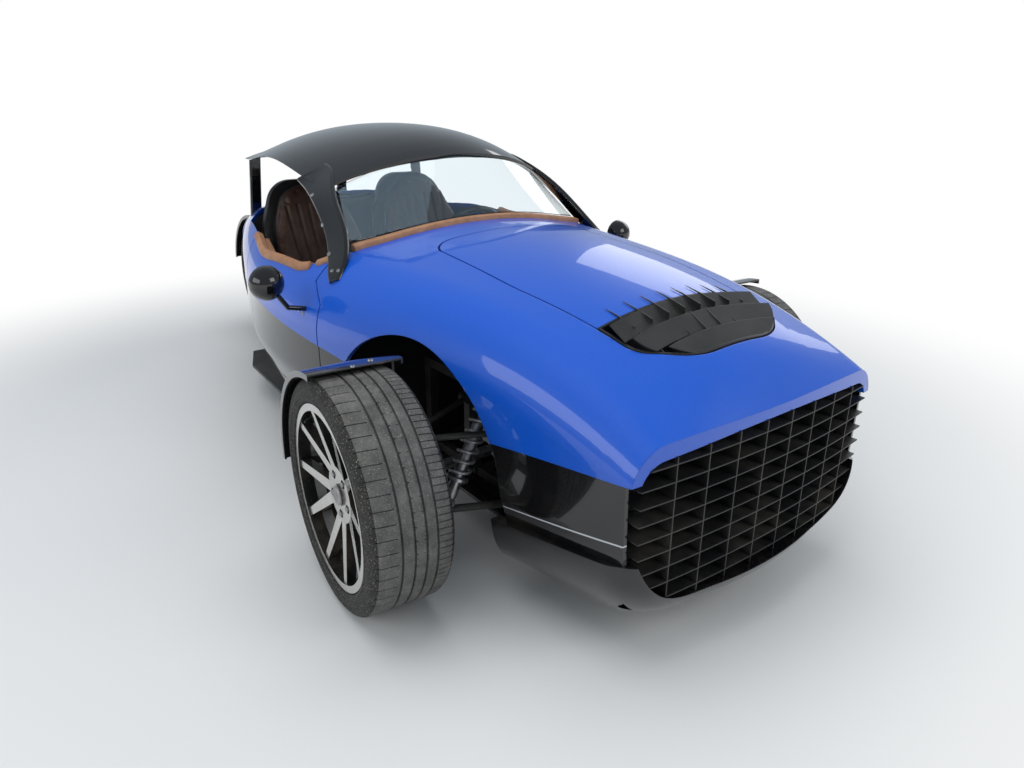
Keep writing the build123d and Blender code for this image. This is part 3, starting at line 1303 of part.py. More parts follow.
def nodes():
    """Every node by name."""
    parts = {
        "nose_shell": nose_shell(),
        "rear_body": rear_body(),
        "belly_pan": belly_pan(),
        "lower_sides": lower_sides(),
        "door_frames": door_frames(),
        "hood_panel": hood_panel(),
        "hood_vent": hood_vent(),
        "grille": grille(),
        "lip": lip(),
        "headlamps": headlamps(),
        "crash_bar": crash_bar(),
        "radiator": radiator(),
        "front_frame": front_frame(),
        "front_crossbars": front_crossbars(),
        "engine": engine(),
        "front_arms": front_arms(),
        "dampers": dampers(),
        "half_shafts": half_shafts(),
        "rack_housing": rack_housing(),
        "tie_rods": tie_rods(),
        "cowl_trim": cowl_trim(),
        "windshield": windshield(),
        "roof": roof(),
        "roof_posts": roof_posts(),
        "tub": tub(),
        "dashboard": dashboard(),
        "steering_wheel": steering_wheel(),
        "seat_shells": pair(seat_shell()),
        "seat_pads": pair(seat_pad()),
        "side_skirts": side_skirts(),
        "rear_frame": rear_frame(),
        "swing_arm": swing_arm(),
        "rear_damper": rear_damper(),
        "rear_fender": rear_fender(),
        "tail_lamps": tail_lamps(),
    }
    rear = Pos(REAR_AXLE_X, 0, REAR_TYRE_RADIUS)
    parts["rear_tyre"] = rear * tyre(REAR_TYRE_RADIUS, REAR_TYRE_WIDTH)
    parts["rear_rim"] = rear * rear_rim()
    parts["rear_hub"] = rear * rear_hub()
    for name, shape in front_corner().items():
        left = wheel_place(shape)
        parts[name + "_left"] = parked(left, 1)
        parts[name + "_right"] = parked(other_side(left), -1)
    for name, shape in door().items():
        parts[name + "_left"] = shape
        parts[name + "_right"] = other_side(shape)
    return parts


if __name__ == "__main__":
    os.makedirs("parts", exist_ok=True)
    for name, shape in nodes().items():
        placed = group(Pos(-MIDDLE_X, 0, 0) * shape)
        export_step(placed, f"parts/{name}.step")
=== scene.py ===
import json
import math

import bmesh
import bpy
from mathutils import Matrix, Vector


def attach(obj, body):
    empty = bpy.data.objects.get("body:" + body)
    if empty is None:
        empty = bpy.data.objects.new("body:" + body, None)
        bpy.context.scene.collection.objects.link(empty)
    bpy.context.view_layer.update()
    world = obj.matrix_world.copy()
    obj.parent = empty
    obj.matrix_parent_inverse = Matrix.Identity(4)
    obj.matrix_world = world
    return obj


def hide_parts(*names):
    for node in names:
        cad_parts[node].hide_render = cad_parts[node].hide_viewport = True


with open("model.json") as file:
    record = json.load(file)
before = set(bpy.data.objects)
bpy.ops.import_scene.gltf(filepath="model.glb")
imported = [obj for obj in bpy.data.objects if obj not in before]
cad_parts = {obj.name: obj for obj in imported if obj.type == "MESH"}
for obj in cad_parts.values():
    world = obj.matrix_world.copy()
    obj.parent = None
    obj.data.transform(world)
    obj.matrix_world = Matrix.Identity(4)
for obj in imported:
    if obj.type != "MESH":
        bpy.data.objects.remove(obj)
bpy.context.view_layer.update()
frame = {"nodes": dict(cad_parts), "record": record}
CAD = frame["nodes"]

# ---- sizes, in metres
SIDES = (("left", 1), ("right", -1))
UP, AHEAD, BACKWARD = Vector((0, 0, 1)), (1, 0, 0), (-1, 0, 0)
FRONT_AXLE = 1.083
REAR_AXLE = -1.467
KINGPIN = 0.660                                       # from the car's middle to the steering axis
SCRUB = 0.100                                         # from the steering axis to the wheel's middle
PARKED_DEGREES = 4.7
PARKED_STEER = math.radians(PARKED_DEGREES)
AXLE_LINE = Vector((math.sin(PARKED_STEER), math.cos(PARKED_STEER), 0))
STEERING_RATIO = 14
FRONT_TYRE = (0.320, 0.225)                           # radius and width
REAR_TYRE = (0.327, 0.285)
BEAD_RADIUS = 0.2416
STRIPE_REAR = (1.310, 0.2955)                         # the nose's pale line: (x, z) of its rear end
STRIPE_FRONT = (1.750, 0.3725)
STRIPE_WIDTH = 0.0042
DAMPER_FOOT, DAMPER_HEAD = (1.138, 0.540, 0.232), (1.138, 0.3583, 0.585)
REAR_DAMPER = ((-1.088, 0, 0.3463), (-0.8293, 0, 0.585))
WHITE = (1, 1, 1, 1)


def on_side(point, way):
    """A point or direction of the left side, for the side that is asked for."""
    return point[0], point[1] * way, point[2]


# ---- shader nodes
class Net:
    """A node tree written like a formula: each method adds nodes and gives their result."""

    def __init__(self, tree):
        self.tree = tree
        self.vector = None

    def feed(self, socket, value):
        """Let an input follow another socket, or give it a plain value."""
        if isinstance(value, bpy.types.NodeSocket):
            self.tree.links.new(value, socket)
        else:
            socket.default_value = value

    def add(self, kind, feeds=None, **settings):
        """A node with its settings, its inputs fed by name or number."""
        node = self.tree.nodes.new("ShaderNode" + kind)
        for title, value in settings.items():
            setattr(node, title, value)
        for title, value in (feeds or {}).items():
            self.feed(node.inputs[title], value)
        return node

    def maths(self, operation, *values, clamp=False):
        return self.add("Math", dict(enumerate(values)), operation=operation, use_clamp=clamp).outputs[0]

    def product(self, first, *others):
        for other in others:
            first = self.maths("MULTIPLY", first, other)
        return first

    def split(self):
        """The x, y and z of the place on the surface."""
        return self.add("SeparateXYZ", {0: self.vector}).outputs

    def noise(self, scale, detail=3.0, rough=0.5):
        feeds = {"Vector": self.vector, "Scale": scale, "Detail": detail, "Roughness": rough}
        return self.add("TexNoise", feeds).outputs["Fac"]

    def ramp(self, value, low, high):
        """A value carried smoothly from 0 at the low mark to 1 at the high one."""
        feeds = {"Value": value, "From Min": low, "From Max": high}
        return self.add("MapRange", feeds, interpolation_type="SMOOTHSTEP").outputs["Result"]

    def level(self, value, start, end, low=0.0, high=1.0):
        """A value carried evenly from the start at the low mark to the end at the high one."""
        feeds = {"Value": value, "From Min": low, "From Max": high, "To Min": start, "To Max": end}
        return self.add("MapRange", feeds).outputs["Result"]

    def blend(self, share, first, second):
        """Two colours mixed. The Mix node's colours are its inputs 6 and 7 and its output 2."""
        return self.add("Mix", {0: share, 6: first, 7: second}, data_type="RGBA").outputs[2]

    def use(self, effect, **values):
        """A shared effect with its own values here."""
        return self.add("Group", {"Vector": self.vector, **values}, node_tree=effect).outputs


class Effect(Net):
    """A shader node group that several materials share."""

    def __init__(self, name, *outputs, **inputs):
        super().__init__(bpy.data.node_groups.new(name, "ShaderNodeTree"))
        sockets = self.tree.interface
        sockets.new_socket(name="Vector", in_out="INPUT", socket_type="NodeSocketVector")
        for title, value in inputs.items():
            socket = sockets.new_socket(name=title, in_out="INPUT", socket_type="NodeSocketFloat")
            socket.default_value = value
        for title in outputs:
            sockets.new_socket(name=title, in_out="OUTPUT", socket_type="NodeSocketFloat")
        self.given = self.tree.nodes.new("NodeGroupInput").outputs
        self.vector = self.given["Vector"]

    def giving(self, **results):
        """Join the results to the group's outputs."""
        out = self.tree.nodes.new("NodeGroupOutput")
        for title, value in results.items():
            self.feed(out.inputs[title], value)
        return self.tree


class Finish(Net):
    """A material with its Principled shader, its effects laid out in Object coordinates."""

    def __init__(self, name, colour, roughness, metal=0.0, coat=0.0, coat_roughness=0.03, specular=0.5):
        self.material = bpy.data.materials.new(name)
        self.material.use_nodes = True
        self.material.diffuse_color = colour
        super().__init__(self.material.node_tree)
        self.shade = self.tree.nodes["Principled BSDF"]
        self.give("Base Color", colour)
        self.give("Roughness", roughness)
        self.give("Metallic", metal)
        self.give("Coat Weight", coat)
        self.give("Coat Roughness", coat_roughness)
        self.give("Specular IOR Level", specular)
        self.vector = self.add("TexCoord").outputs["Object"]

    def give(self, title, value):
        self.feed(self.shade.inputs[title], value)

    def bump(self, height, strength, distance, edge=0.0):
        """Fine relief, over sharp edges rounded in the shading where a radius is given."""
        node = self.add("Bump", {"Height": height, "Strength": strength, "Distance": distance})
        if edge:
            rounded = self.add("Bevel", {"Radius": edge}, samples=6)
            self.feed(node.inputs["Normal"], rounded.outputs["Normal"])
        self.give("Normal", node.outputs["Normal"])

    def dusty(self, colour, film, specks, height, dust=(0.34, 0.29, 0.22, 1), rough=(0.3, 0.8)):
        """Lay road dust over the finish's colour and gloss."""
        mask = self.use(DUST, Film=film, Specks=specks, Height=height)["Mask"]
        self.give("Base Color", self.blend(mask, colour, dust))
        self.give("Roughness", self.level(mask, *rough))


# ---- camera, floor and light
CAMERA_PLACE = (2.69934, -1.49898, 1.29335)
CAMERA_YAW, CAMERA_PITCH, CAMERA_ROLL = 2.49303107, -0.370058896, 0.00203341858
FOCAL_PIXELS, PICTURE_PIXELS, SENSOR = 740.018, 1024, 36.0
SKY_COLOUR, SKY_POWER = (0.80, 0.90, 1.0, 1), 0.42
FLOOR_FADE = (1.6, 3.4)                               # the floor turns white between these distances

# name, place, aim, size, power, mirrored in the paint
LAMPS = (
    ("roof light", (0.4, -0.6, 4.6), (0.2, 0, 0.3), (3.6, 5.2), 110, False),
    ("front light", (4.8, 1.4, 2.9), (1.2, 0, 0.5), (2.6, 2.0), 52, True),
    ("side light", (0.6, -4.6, 2.2), (0.4, 0, 0.5), (4.0, 1.6), 46, True),
    ("far side light", (-1.0, 4.6, 2.6), (0, 0, 0.5), (4.0, 2.0), 38, True),
)


def camera():
    """The photograph's view: above and ahead of the right front wheel."""
    flat = math.cos(CAMERA_PITCH)
    ahead = Vector((math.cos(CAMERA_YAW) * flat, math.sin(CAMERA_YAW) * flat, math.sin(CAMERA_PITCH)))
    level = ahead.cross(UP).normalized()
    above = level.cross(ahead)
    right = level * math.cos(CAMERA_ROLL) + above * math.sin(CAMERA_ROLL)
    up = above * math.cos(CAMERA_ROLL) - level * math.sin(CAMERA_ROLL)
    lens = bpy.data.cameras.new("camera")
    lens.sensor_width = SENSOR
    lens.lens = FOCAL_PIXELS / PICTURE_PIXELS * SENSOR
    lens.clip_end = 200.0
    eye = bpy.data.objects.new("camera", lens)
    turn = Matrix((right, up, -ahead)).transposed()
    eye.matrix_world = Matrix.Translation(CAMERA_PLACE) @ turn.to_4x4()
    bpy.context.scene.collection.objects.link(eye)
    bpy.context.scene.camera = eye


def soft_light(name, place, aim, size, power, mirrored_in_paint):
    """A large square lamp turned towards a point."""
    lamp = bpy.data.lights.new(name, "AREA")
    lamp.shape = "RECTANGLE"
    lamp.size, lamp.size_y = size
    lamp.energy = power
    holder = bpy.data.objects.new(name, lamp)
    holder.location = place
    holder.rotation_euler = (Vector(aim) - Vector(place)).to_track_quat("-Z", "Y").to_euler()
    holder.visible_glossy = mirrored_in_paint
    bpy.context.scene.collection.objects.link(holder)


def studio():
    """Pale floor fading into white, even sky and four large lamps."""
    scene = bpy.context.scene
    scene.view_settings.view_transform = "Standard"
    scene.world = bpy.data.worlds.new("studio")
    scene.world.use_nodes = True
    sky = Net(scene.world.node_tree)
    sky.tree.nodes.clear()
    path = sky.add("LightPath").outputs
    seen = sky.maths("MAXIMUM", path["Is Camera Ray"], path["Is Transmission Ray"])
    lit = sky.add("Background", {"Color": SKY_COLOUR, "Strength": SKY_POWER})
    plain = sky.add("Background", {"Color": WHITE, "Strength": 1.0})
    mix = sky.add("MixShader", {0: seen, 1: lit.outputs[0], 2: plain.outputs[0]})
    sky.add("OutputWorld", {"Surface": mix.outputs[0]})
    for lamp in LAMPS:
        soft_light(*lamp)
    bpy.ops.mesh.primitive_plane_add(size=60, location=(0, 0, 0))
    floor = bpy.context.object
    floor.name = "floor"
    pale = Finish("pale floor", (0.80, 0.80, 0.79, 1), 0.9, specular=0.2)
    path = pale.add("LightPath").outputs
    seen = pale.maths("MAXIMUM", path["Is Camera Ray"], path["Is Transmission Ray"])
    seen = pale.maths("MAXIMUM", seen, path["Is Glossy Ray"])
    far = pale.add("VectorMath", {0: pale.vector}, operation="LENGTH").outputs["Value"]
    share = pale.product(pale.ramp(far, *FLOOR_FADE), seen)
    glow = pale.add("Emission", {"Color": WHITE})
    mix = pale.add("MixShader", {0: share, 1: pale.shade.outputs[0], 2: glow.outputs[0]})
    pale.feed(pale.tree.nodes["Material Output"].inputs["Surface"], mix.outputs[0])
    floor.data.materials.append(pale.material)


# ---- working by hand
def only(piece):
    """Make one object the selected and active one."""
    bpy.ops.object.select_all(action="DESELECT")
    piece.select_set(True)
    bpy.context.view_layer.objects.active = piece


def edit(piece):
    """Open a piece for editing, all of it picked."""
    only(piece)
    bpy.ops.object.mode_set(mode="EDIT")
    take_all()


def take_all():
    bpy.ops.mesh.select_all(action="SELECT")


def leave():
    bpy.ops.object.mode_set(mode="OBJECT")


def welded(reach=0.00001):
    """Join points that coincide and turn all faces outward, in the open mesh."""
    take_all()
    bpy.ops.mesh.remove_doubles(threshold=reach)
    bpy.ops.mesh.normals_make_consistent(inside=False)
    leave()


def pick(piece, kind, test):
    """Select the vertices, edges or faces of the open mesh that pass a test."""
    bpy.ops.mesh.select_mode(type=kind)
    bpy.ops.mesh.select_all(action="DESELECT")
    mesh = bmesh.from_edit_mesh(piece.data)
    rows = {"VERT": mesh.verts, "EDGE": mesh.edges, "FACE": mesh.faces}[kind]
    found = [each for each in rows if test(each)]
    for each in found:
        each.select_set(True)
    mesh.select_flush_mode()
    bmesh.update_edit_mesh(piece.data)
    return found


def apply_place(piece, place=None, turn=None):
    """Bring a piece's place, turn and size into its mesh, after setting them where given."""
    if place is not None:
        piece.location = place
    if turn is not None:
        piece.rotation_euler = turn
    only(piece)
    bpy.ops.object.transform_apply(location=True, rotation=True, scale=True)
    return piece


def stand(piece, place, axis=UP):
    """Turn a piece's upright line to a direction and carry it to its place."""
    return apply_place(piece, place, Vector(axis).to_track_quat("Z", "Y").to_matrix().to_euler())


def again(piece, name):
    """A copy of a piece with its own mesh."""
    only(piece)
    bpy.ops.object.duplicate(linked=False)
    twin = bpy.context.object
    twin.name = name
    return twin


def mirrored(piece, name):
    """The same piece on the car's other side."""
    twin = again(piece, name)
    edit(twin)
    bpy.ops.transform.resize(value=(1, -1, 1), center_override=(0, 0, 0))
    bpy.ops.mesh.flip_normals()
    leave()
    return twin


def joined(name, pieces):
    """Several pieces made one object."""
    bpy.ops.object.select_all(action="DESELECT")
    for piece in pieces:
        piece.select_set(True)
    bpy.context.view_layer.objects.active = pieces[0]
    bpy.ops.object.join()
    pieces[0].name = name
    return pieces[0]


def with_modifier(piece, kind, **settings):
    """Add a modifier, set it and apply it."""
    only(piece)
    modifier = piece.modifiers.new(kind.lower(), kind)
    for title, value in settings.items():
        setattr(modifier, title, value)
    bpy.ops.object.modifier_apply(modifier=modifier.name)
    return piece


def cut_by(piece, tool):
    """Take a tool's form out of a piece."""
    with_modifier(piece, "BOOLEAN", object=tool, operation="DIFFERENCE", solver="EXACT")
    bpy.data.objects.remove(tool)


def rounded_edges(piece, width):
    return with_modifier(piece, "BEVEL", width=width, segments=2, limit_method="ANGLE",
                         angle_limit=math.radians(35), use_clamp_overlap=True, miter_outer="MITER_ARC")


def displaced(piece, strength, group=None):
    """Move the surface along its normals, everywhere or by a vertex group."""
    settings = {"vertex_group": group} if group else {}
    return with_modifier(piece, "DISPLACE", strength=strength, mid_level=0.0, direction="NORMAL", **settings)


def refined(piece):
    return with_modifier(piece, "SUBSURF", levels=1, render_levels=1)


def finish(piece, material, body, slot_name, *nodes, smooth=40):
    """Give a piece its surface and material and say what it rides on and stands for."""
    only(piece)
    bpy.ops.object.shade_smooth_by_angle(angle=math.radians(smooth))
    if not piece.data.materials:
        piece.data.materials.append(material)
    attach(piece, body)
    if nodes:
        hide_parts(*nodes)
    return piece


def drawn(name, points):
    """A line through points, drawn from one vertex and left open with all of it picked."""
    bpy.ops.mesh.primitive_plane_add(size=0.01)
    piece = bpy.context.object
    piece.name = name
    edit(piece)
    bpy.ops.mesh.select_mode(type="VERT")
    take_all()
    bpy.ops.mesh.merge(type="CENTER")
    bpy.ops.transform.translate(value=points[0])
    for start, end in zip(points, points[1:]):
        step = tuple(b - a for a, b in zip(start, end))
        bpy.ops.mesh.extrude_region_move(TRANSFORM_OT_translate={"value": step})
    take_all()
    return piece


def turned(name, profile, steps=48):
    """A profile of (radius, height) points spun round an upright line."""
    piece = drawn(name, [(radius, 0, height) for radius, height in profile])
    bpy.ops.mesh.spin(steps=steps, angle=math.tau, center=(0, 0, 0), axis=(0, 0, 1))
    welded()
    return piece


def fitting(name, profile, steps, place, axis, *look, smooth=40):
    """A turned piece set in its place and finished."""
    return finish(stand(turned(name, profile, steps), place, axis), *look, smooth=smooth)


def box(name, low, high):
    """A block between two corners."""
    low, high = Vector(low), Vector(high)
    bpy.ops.mesh.primitive_cube_add(size=1, location=(low + high) / 2)
    piece = bpy.context.object
    piece.name = name
    piece.scale = high - low
    return apply_place(piece)


def prism(corners, radius, depth, place=(0, 0, 0)):
    """An upright bar with a number of corners, about its middle."""
    bpy.ops.mesh.primitive_cylinder_add(vertices=corners, radius=radius, depth=depth, location=place)
    return bpy.context.object


def bolt(name, place, axis, radius, height):
    """A button head with a six-sided socket, its foot at a point."""
    head = turned(name, [(0, height), (radius * 0.55, height), (radius * 0.85, height * 0.75),
                         (radius, height * 0.3), (radius, -0.001), (0, -0.001)], 18)
    cut_by(head, prism(6, radius * 0.42, height, (0, 0, height)))
    return stand(head, place, axis)


def hexagon(place, axis, radius, height=0.007):
    """A hexagon bolt head with a washer under it."""
    head = rounded_edges(prism(6, radius, height, (0, 0, height / 2 + 0.0015)), radius * 0.12)
    washer = turned("washer", [(0, 0.0015), (radius * 1.35, 0.0015), (radius * 1.45, 0.0005),
                               (radius * 1.45, -0.001), (0, -0.001)], 24)
    return stand(apply_place(joined("bolt", [head, washer])), place, axis)


# ---- shared effects
def dust_effect():
    """Road dust: a cloudy film, thicker near the ground, with small specks."""
    net = Effect("road dust", "Mask", Film=0.3, Specks=0.3, Height=0.5)
    low = net.maths("SUBTRACT", 1.15, net.maths("DIVIDE", net.split()["Z"], net.given["Height"]), clamp=True)
    cloud = net.ramp(net.noise(7.0, 6.0, 0.65), 0.38, 0.72)
    speck = net.ramp(net.noise(210.0, 2.0), 0.66, 0.74)
    film = net.product(cloud, low, net.given["Film"])
    specks = net.product(speck, low, net.given["Specks"])
    return net.giving(Mask=net.maths("MAXIMUM", film, specks, clamp=True))


def grain_effect():
    """Leather: small closed cells with creases between them."""
    net = Effect("hide grain", "Height", "Mask", Scale=400.0, Crease=0.4)
    cells = {"Vector": net.vector, "Scale": net.given["Scale"]}
    cell = net.add("TexVoronoi", cells, feature="DISTANCE_TO_EDGE")
    edge = net.ramp(cell.outputs["Distance"], 0.0, 0.16)
    crease = net.product(net.ramp(net.noise(38.0, 5.0, 0.6), 0.42, 0.58), net.given["Crease"])
    # Height and Mask are low at the cell borders; leather() darkens these hollows as painted shade.
    return net.giving(Height=net.maths("ADD", edge, crease), Mask=net.product(edge, crease))


def wear_effect():
    """Rubbed edges: bare where the surface turns sharply, broken up by noise."""
    net = Effect("rubbed edges", "Mask", Amount=0.5, Scale=60.0)
    edge = net.ramp(net.add("NewGeometry").outputs["Pointiness"], 0.505, 0.60)
    broken = net.ramp(net.noise(net.given["Scale"], 4.0, 0.6), 0.35, 0.65)
    return net.giving(Mask=net.maths("MULTIPLY", net.product(edge, broken), net.given["Amount"], clamp=True))


def brushed_effect():
    """Fine lines left by a tool, as on a machined face."""
    net = Effect("tool marks", "Height", Scale=900.0)
    return net.giving(Height=net.noise(net.given["Scale"], 2.0, 0.6))


def pile_effect():
    """Carpet pile, trodden in places; its Mask is high in the hollows between the loops, where carpet()
    paints shade.
    """
    net = Effect("pile", "Height", "Mask", Scale=500.0)
    loops = net.add("TexVoronoi", {"Vector": net.vector, "Scale": net.given["Scale"]}).outputs["Distance"]
    trodden = net.noise(14.0, 5.0, 0.6)
    return net.giving(Height=net.maths("SUBTRACT", 1.0, loops), Mask=net.product(loops, trodden))


DUST = dust_effect()
GRAIN = grain_effect()
WEAR = wear_effect()
TOOLED = brushed_effect()
PILE = pile_effect()


# ---- materials
def scaled(colour, factor):
    """A colour made darker or lighter."""
    return tuple(min(1, part * factor) for part in colour[:3]) + (1,)


def blue_paint():
    """Royal blue with fine flake under clear lacquer."""
    deep, bright = (0.002, 0.080, 0.54, 1), (0.006, 0.125, 0.72, 1)
    net = Finish("royal blue lacquer", bright, 0.40, coat=0.8, specular=0.3)
    flake = net.add("TexVoronoi", {"Vector": net.vector, "Scale": 2600.0}).outputs["Color"]
    share = net.ramp(net.add("SeparateColor", {"Color": flake}).outputs["Red"], 0.2, 1.0)
    net.dusty(net.blend(share, deep, bright), 0.10, 0.14, 0.70, (0.20, 0.24, 0.34, 1), (0.36, 0.6))
    net.bump(net.noise(260.0, 1.0), 0.03, 0.0006, edge=0.005)
    return net.material


def black_gloss(name="black lacquer", striped=False):
    """Black lacquer of the lower body; the nose's side carries a thin pale line."""
    colour = black = (0.006, 0.006, 0.007, 1)
    net = Finish(name, black, 0.2, coat=0.9, coat_roughness=0.02, specular=0.25)
    if striped:
        x, y, z = net.split()
        slope = (STRIPE_FRONT[1] - STRIPE_REAR[1]) / (STRIPE_FRONT[0] - STRIPE_REAR[0])
        line = net.product(net.maths("SUBTRACT", x, STRIPE_REAR[0]), slope)
        offset = net.maths("SUBTRACT", net.maths("SUBTRACT", z, STRIPE_REAR[1]), line)
        near = net.maths("LESS_THAN", net.maths("ABSOLUTE", offset), STRIPE_WIDTH / 2)
        ahead = net.maths("GREATER_THAN", x, STRIPE_REAR[0])
        outside = net.maths("GREATER_THAN", net.maths("ABSOLUTE", y), 0.40)
        colour = net.blend(net.product(near, ahead, outside), black, (0.55, 0.57, 0.60, 1))
    net.dusty(colour, 0.16, 0.30, 0.55, (0.16, 0.14, 0.11, 1), (0.12, 0.5))
    net.bump(net.noise(240.0, 1.0), 0.03, 0.0006, edge=0.005)
    return net.material


def satin_black(name="satin black", tone=0.012, dust=0.30, height=0.9):
    """Powder coat with a fine pebble."""
    black = (tone, tone, tone * 1.05, 1)
    net = Finish(name, black, 0.42)
    net.dusty(black, dust, dust * 1.4, height, (0.20, 0.18, 0.15, 1), (0.40, 0.75))
    net.bump(net.noise(900.0, 2.0), 0.12, 0.0005, edge=0.0025)
    return net.material


def leather(name, colour, dark, roughness=0.5):
    """Grained hide, with painted shade darkening its creases, and a little polished where it is touched."""
    net = Finish(name, colour, roughness)
    hide = net.use(GRAIN, Scale=520.0, Crease=0.5)
    cloud = net.ramp(net.noise(9.0, 5.0, 0.6), 0.3, 0.7)
    tone = net.blend(cloud, dark, colour)
    # Painted shade: the grain's hollows, where Height and Mask are low, are darkened.
    deep = net.blend(hide["Mask"], scaled(dark, 0.55), tone)
    net.give("Base Color", net.blend(net.ramp(hide["Height"], 0.0, 0.5), deep, tone))
    net.give("Roughness", net.level(cloud, roughness + 0.1, roughness - 0.08))
    net.bump(hide["Height"], 0.35, 0.0006)
    return net.material


def rubber(name, fresh, dirty):
    """Tyre rubber with dust in its grain; the tread is greyer than the side."""
    net = Finish(name, fresh, 0.72, specular=0.35)
    worn = net.blend(net.ramp(net.noise(22.0, 6.0, 0.7), 0.3, 0.75), fresh, dirty)
    grit = net.ramp(net.noise(300.0, 3.0, 0.6), 0.60, 0.68)
    net.give("Base Color", net.blend(net.product(grit, 0.75), worn, (0.42, 0.38, 0.31, 1)))
    net.bump(net.noise(700.0, 4.0, 0.7), 0.35, 0.0008)
    return net.material


def machined(name, colour):
    """Bright cut metal with faint tool lines under lacquer."""
    net = Finish(name, colour, 0.28, 1.0, 0.4)
    net.dusty(colour, 0.22, 0.30, 0.7, (0.25, 0.20, 0.14, 1), (0.26, 0.55))
    net.bump(net.use(TOOLED, Scale=700.0)["Height"], 0.10, 0.0002)
    return net.material


def cut_face_wheel(name, axle):
    """Wheel whose outer faces are turned bright and whose sides and barrel are black enamel."""
    bright, black = (0.66, 0.64, 0.61, 1), (0.012, 0.012, 0.013, 1)
    net = Finish(name, bright, 0.26, 1.0, 0.6)
    normal = net.add("TexCoord").outputs["Normal"]
    facing = net.add("VectorMath", {0: normal, 1: axle}, operation="DOT_PRODUCT").outputs["Value"]
    cut = net.ramp(net.maths("ABSOLUTE", facing), 0.80, 0.86)
    dust = net.use(DUST, Film=0.30, Specks=0.35, Height=0.8)["Mask"]
    net.give("Base Color", net.blend(dust, net.blend(cut, black, bright), (0.22, 0.18, 0.13, 1)))
    net.give("Metallic", net.product(cut, net.maths("SUBTRACT", 1.0, dust)))
    net.bump(net.use(TOOLED, Scale=700.0)["Height"], 0.08, 0.0002, edge=0.0015)
    return net.material


def cast_metal(name, colour, metal=0.9, roughness=0.5, rust=0.0):
    """Sand-cast or plated metal, dirtied, with rubbed edges."""
    net = Finish(name, colour, roughness, metal)
    tone = net.blend(net.ramp(net.noise(30.0, 6.0, 0.65), 0.35, 0.70), scaled(colour, 0.6), colour)
    if rust:
        spots = net.ramp(net.noise(60.0, 5.0, 0.7), 0.66 - rust * 0.1, 0.72)
        tone = net.blend(spots, tone, (0.18, 0.075, 0.03, 1))
    tone = net.blend(net.use(WEAR, Amount=0.6, Scale=80.0)["Mask"], tone, scaled(colour, 1.7))
    net.dusty(tone, 0.35, 0.3, 0.7, rough=(roughness, 0.85))
    net.bump(net.noise(260.0, 4.0, 0.6), 0.25, 0.0006)
    return net.material


def finned_core():
    """Radiator core: flat tubes across, thin fins between them with painted shade in the gaps, clogged here
    and there with dust.
    """
    colour = (0.15, 0.15, 0.15, 1)
    net = Finish("radiator core", colour, 0.5, 0.7)
    tubes, fins = (
        net.add("TexWave", {"Scale": scale, "Vector": net.vector}, bands_direction=way, wave_profile="TRI")
        .outputs["Fac"] for way, scale in (("Z", 45.0), ("Y", 160.0)))
    height = net.maths("MAXIMUM", net.ramp(tubes, 0.6, 0.8), net.product(fins, 0.6))
    # Painted shade: where the tubes and fins are low the colour is near black, as in deep gaps.
    net.dusty(net.blend(height, (0.02, 0.02, 0.02, 1), colour), 0.40, 0.4, 0.8, rough=(0.5, 0.9))
    net.bump(height, 0.8, 0.002)
    return net.material


def clear_glass(name, colour, roughness=0.0):
    """Glass or a lens, a little smeared, its reflections tinted blue as a painted sky reflection."""
    net = Finish(name, colour, roughness, specular=0.25)
    # Painted sky reflection: the blue Specular Tint colours every reflection of the glass and lenses.
    net.give("Specular Tint", (0.62, 0.82, 1.0, 1))
    net.give("Transmission Weight", 1.0)
    net.give("IOR", 1.5)
    net.give("Roughness", net.level(net.noise(6.0, 5.0, 0.7), roughness, roughness + 0.015, 0.45, 0.9))
    return net.material


def carpet():
    net = Finish("black carpet", (0.012, 0.012, 0.013, 1), 0.95, specular=0.2)
    pile = net.use(PILE, Scale=420.0)
    # Painted shade in the pile's hollows, stronger in the trodden patches, which vary at random.
    net.give("Base Color", net.blend(pile["Mask"], (0.018, 0.018, 0.019, 1), (0.004, 0.004, 0.004, 1)))
    net.bump(pile["Height"], 0.8, 0.002)
    return net.material


BLUE = blue_paint()
GLOSS = black_gloss()
SIDE_GLOSS = black_gloss("black lacquer with line", striped=True)
SATIN = satin_black()
MOULDED = satin_black("moulded black plastic", 0.018, 0.25, 0.8)
FRAME_BLACK = satin_black("frame enamel", 0.014, 0.45, 0.6)
TAN = leather("tan leather", (0.46, 0.235, 0.125, 1), (0.37, 0.175, 0.09, 1))
BROWN = leather("dark brown leather", (0.085, 0.036, 0.020, 1), (0.055, 0.023, 0.013, 1), 0.45)
HIDE_BLACK = leather("black leather", (0.020, 0.020, 0.022, 1), (0.012, 0.012, 0.013, 1), 0.45)
RUBBER = rubber("tyre rubber", (0.018, 0.0175, 0.017, 1), (0.040, 0.038, 0.035, 1))
TREAD = rubber("dusty tread rubber", (0.080, 0.078, 0.075, 1), (0.160, 0.155, 0.146, 1))
ALLOY = cut_face_wheel("front wheel", AXLE_LINE)
REAR_ALLOY = cut_face_wheel("rear wheel", (0, 1, 0))
SPOKE = machined("brushed spoke", (0.42, 0.42, 0.43, 1))
MIRROR = machined("mirror silver", (0.82, 0.84, 0.86, 1))
SPRING = cast_metal("spring enamel", (0.50, 0.50, 0.52, 1), 0.7, 0.32)
REFLECTOR = cast_metal("lamp reflector", (0.80, 0.82, 0.84, 1), 1.0, 0.12)
STEEL = cast_metal("plated steel", (0.42, 0.42, 0.44, 1), 0.9, 0.35)
CAST = cast_metal("cast iron", (0.10, 0.098, 0.095, 1), 0.6, 0.55, rust=0.4)
ENGINE_ALLOY = cast_metal("engine alloy", (0.30, 0.30, 0.31, 1), 0.8, 0.5)
BRIGHT = cast_metal("bright alloy", (0.55, 0.56, 0.57, 1), 1.0, 0.30)
CORE = finned_core()
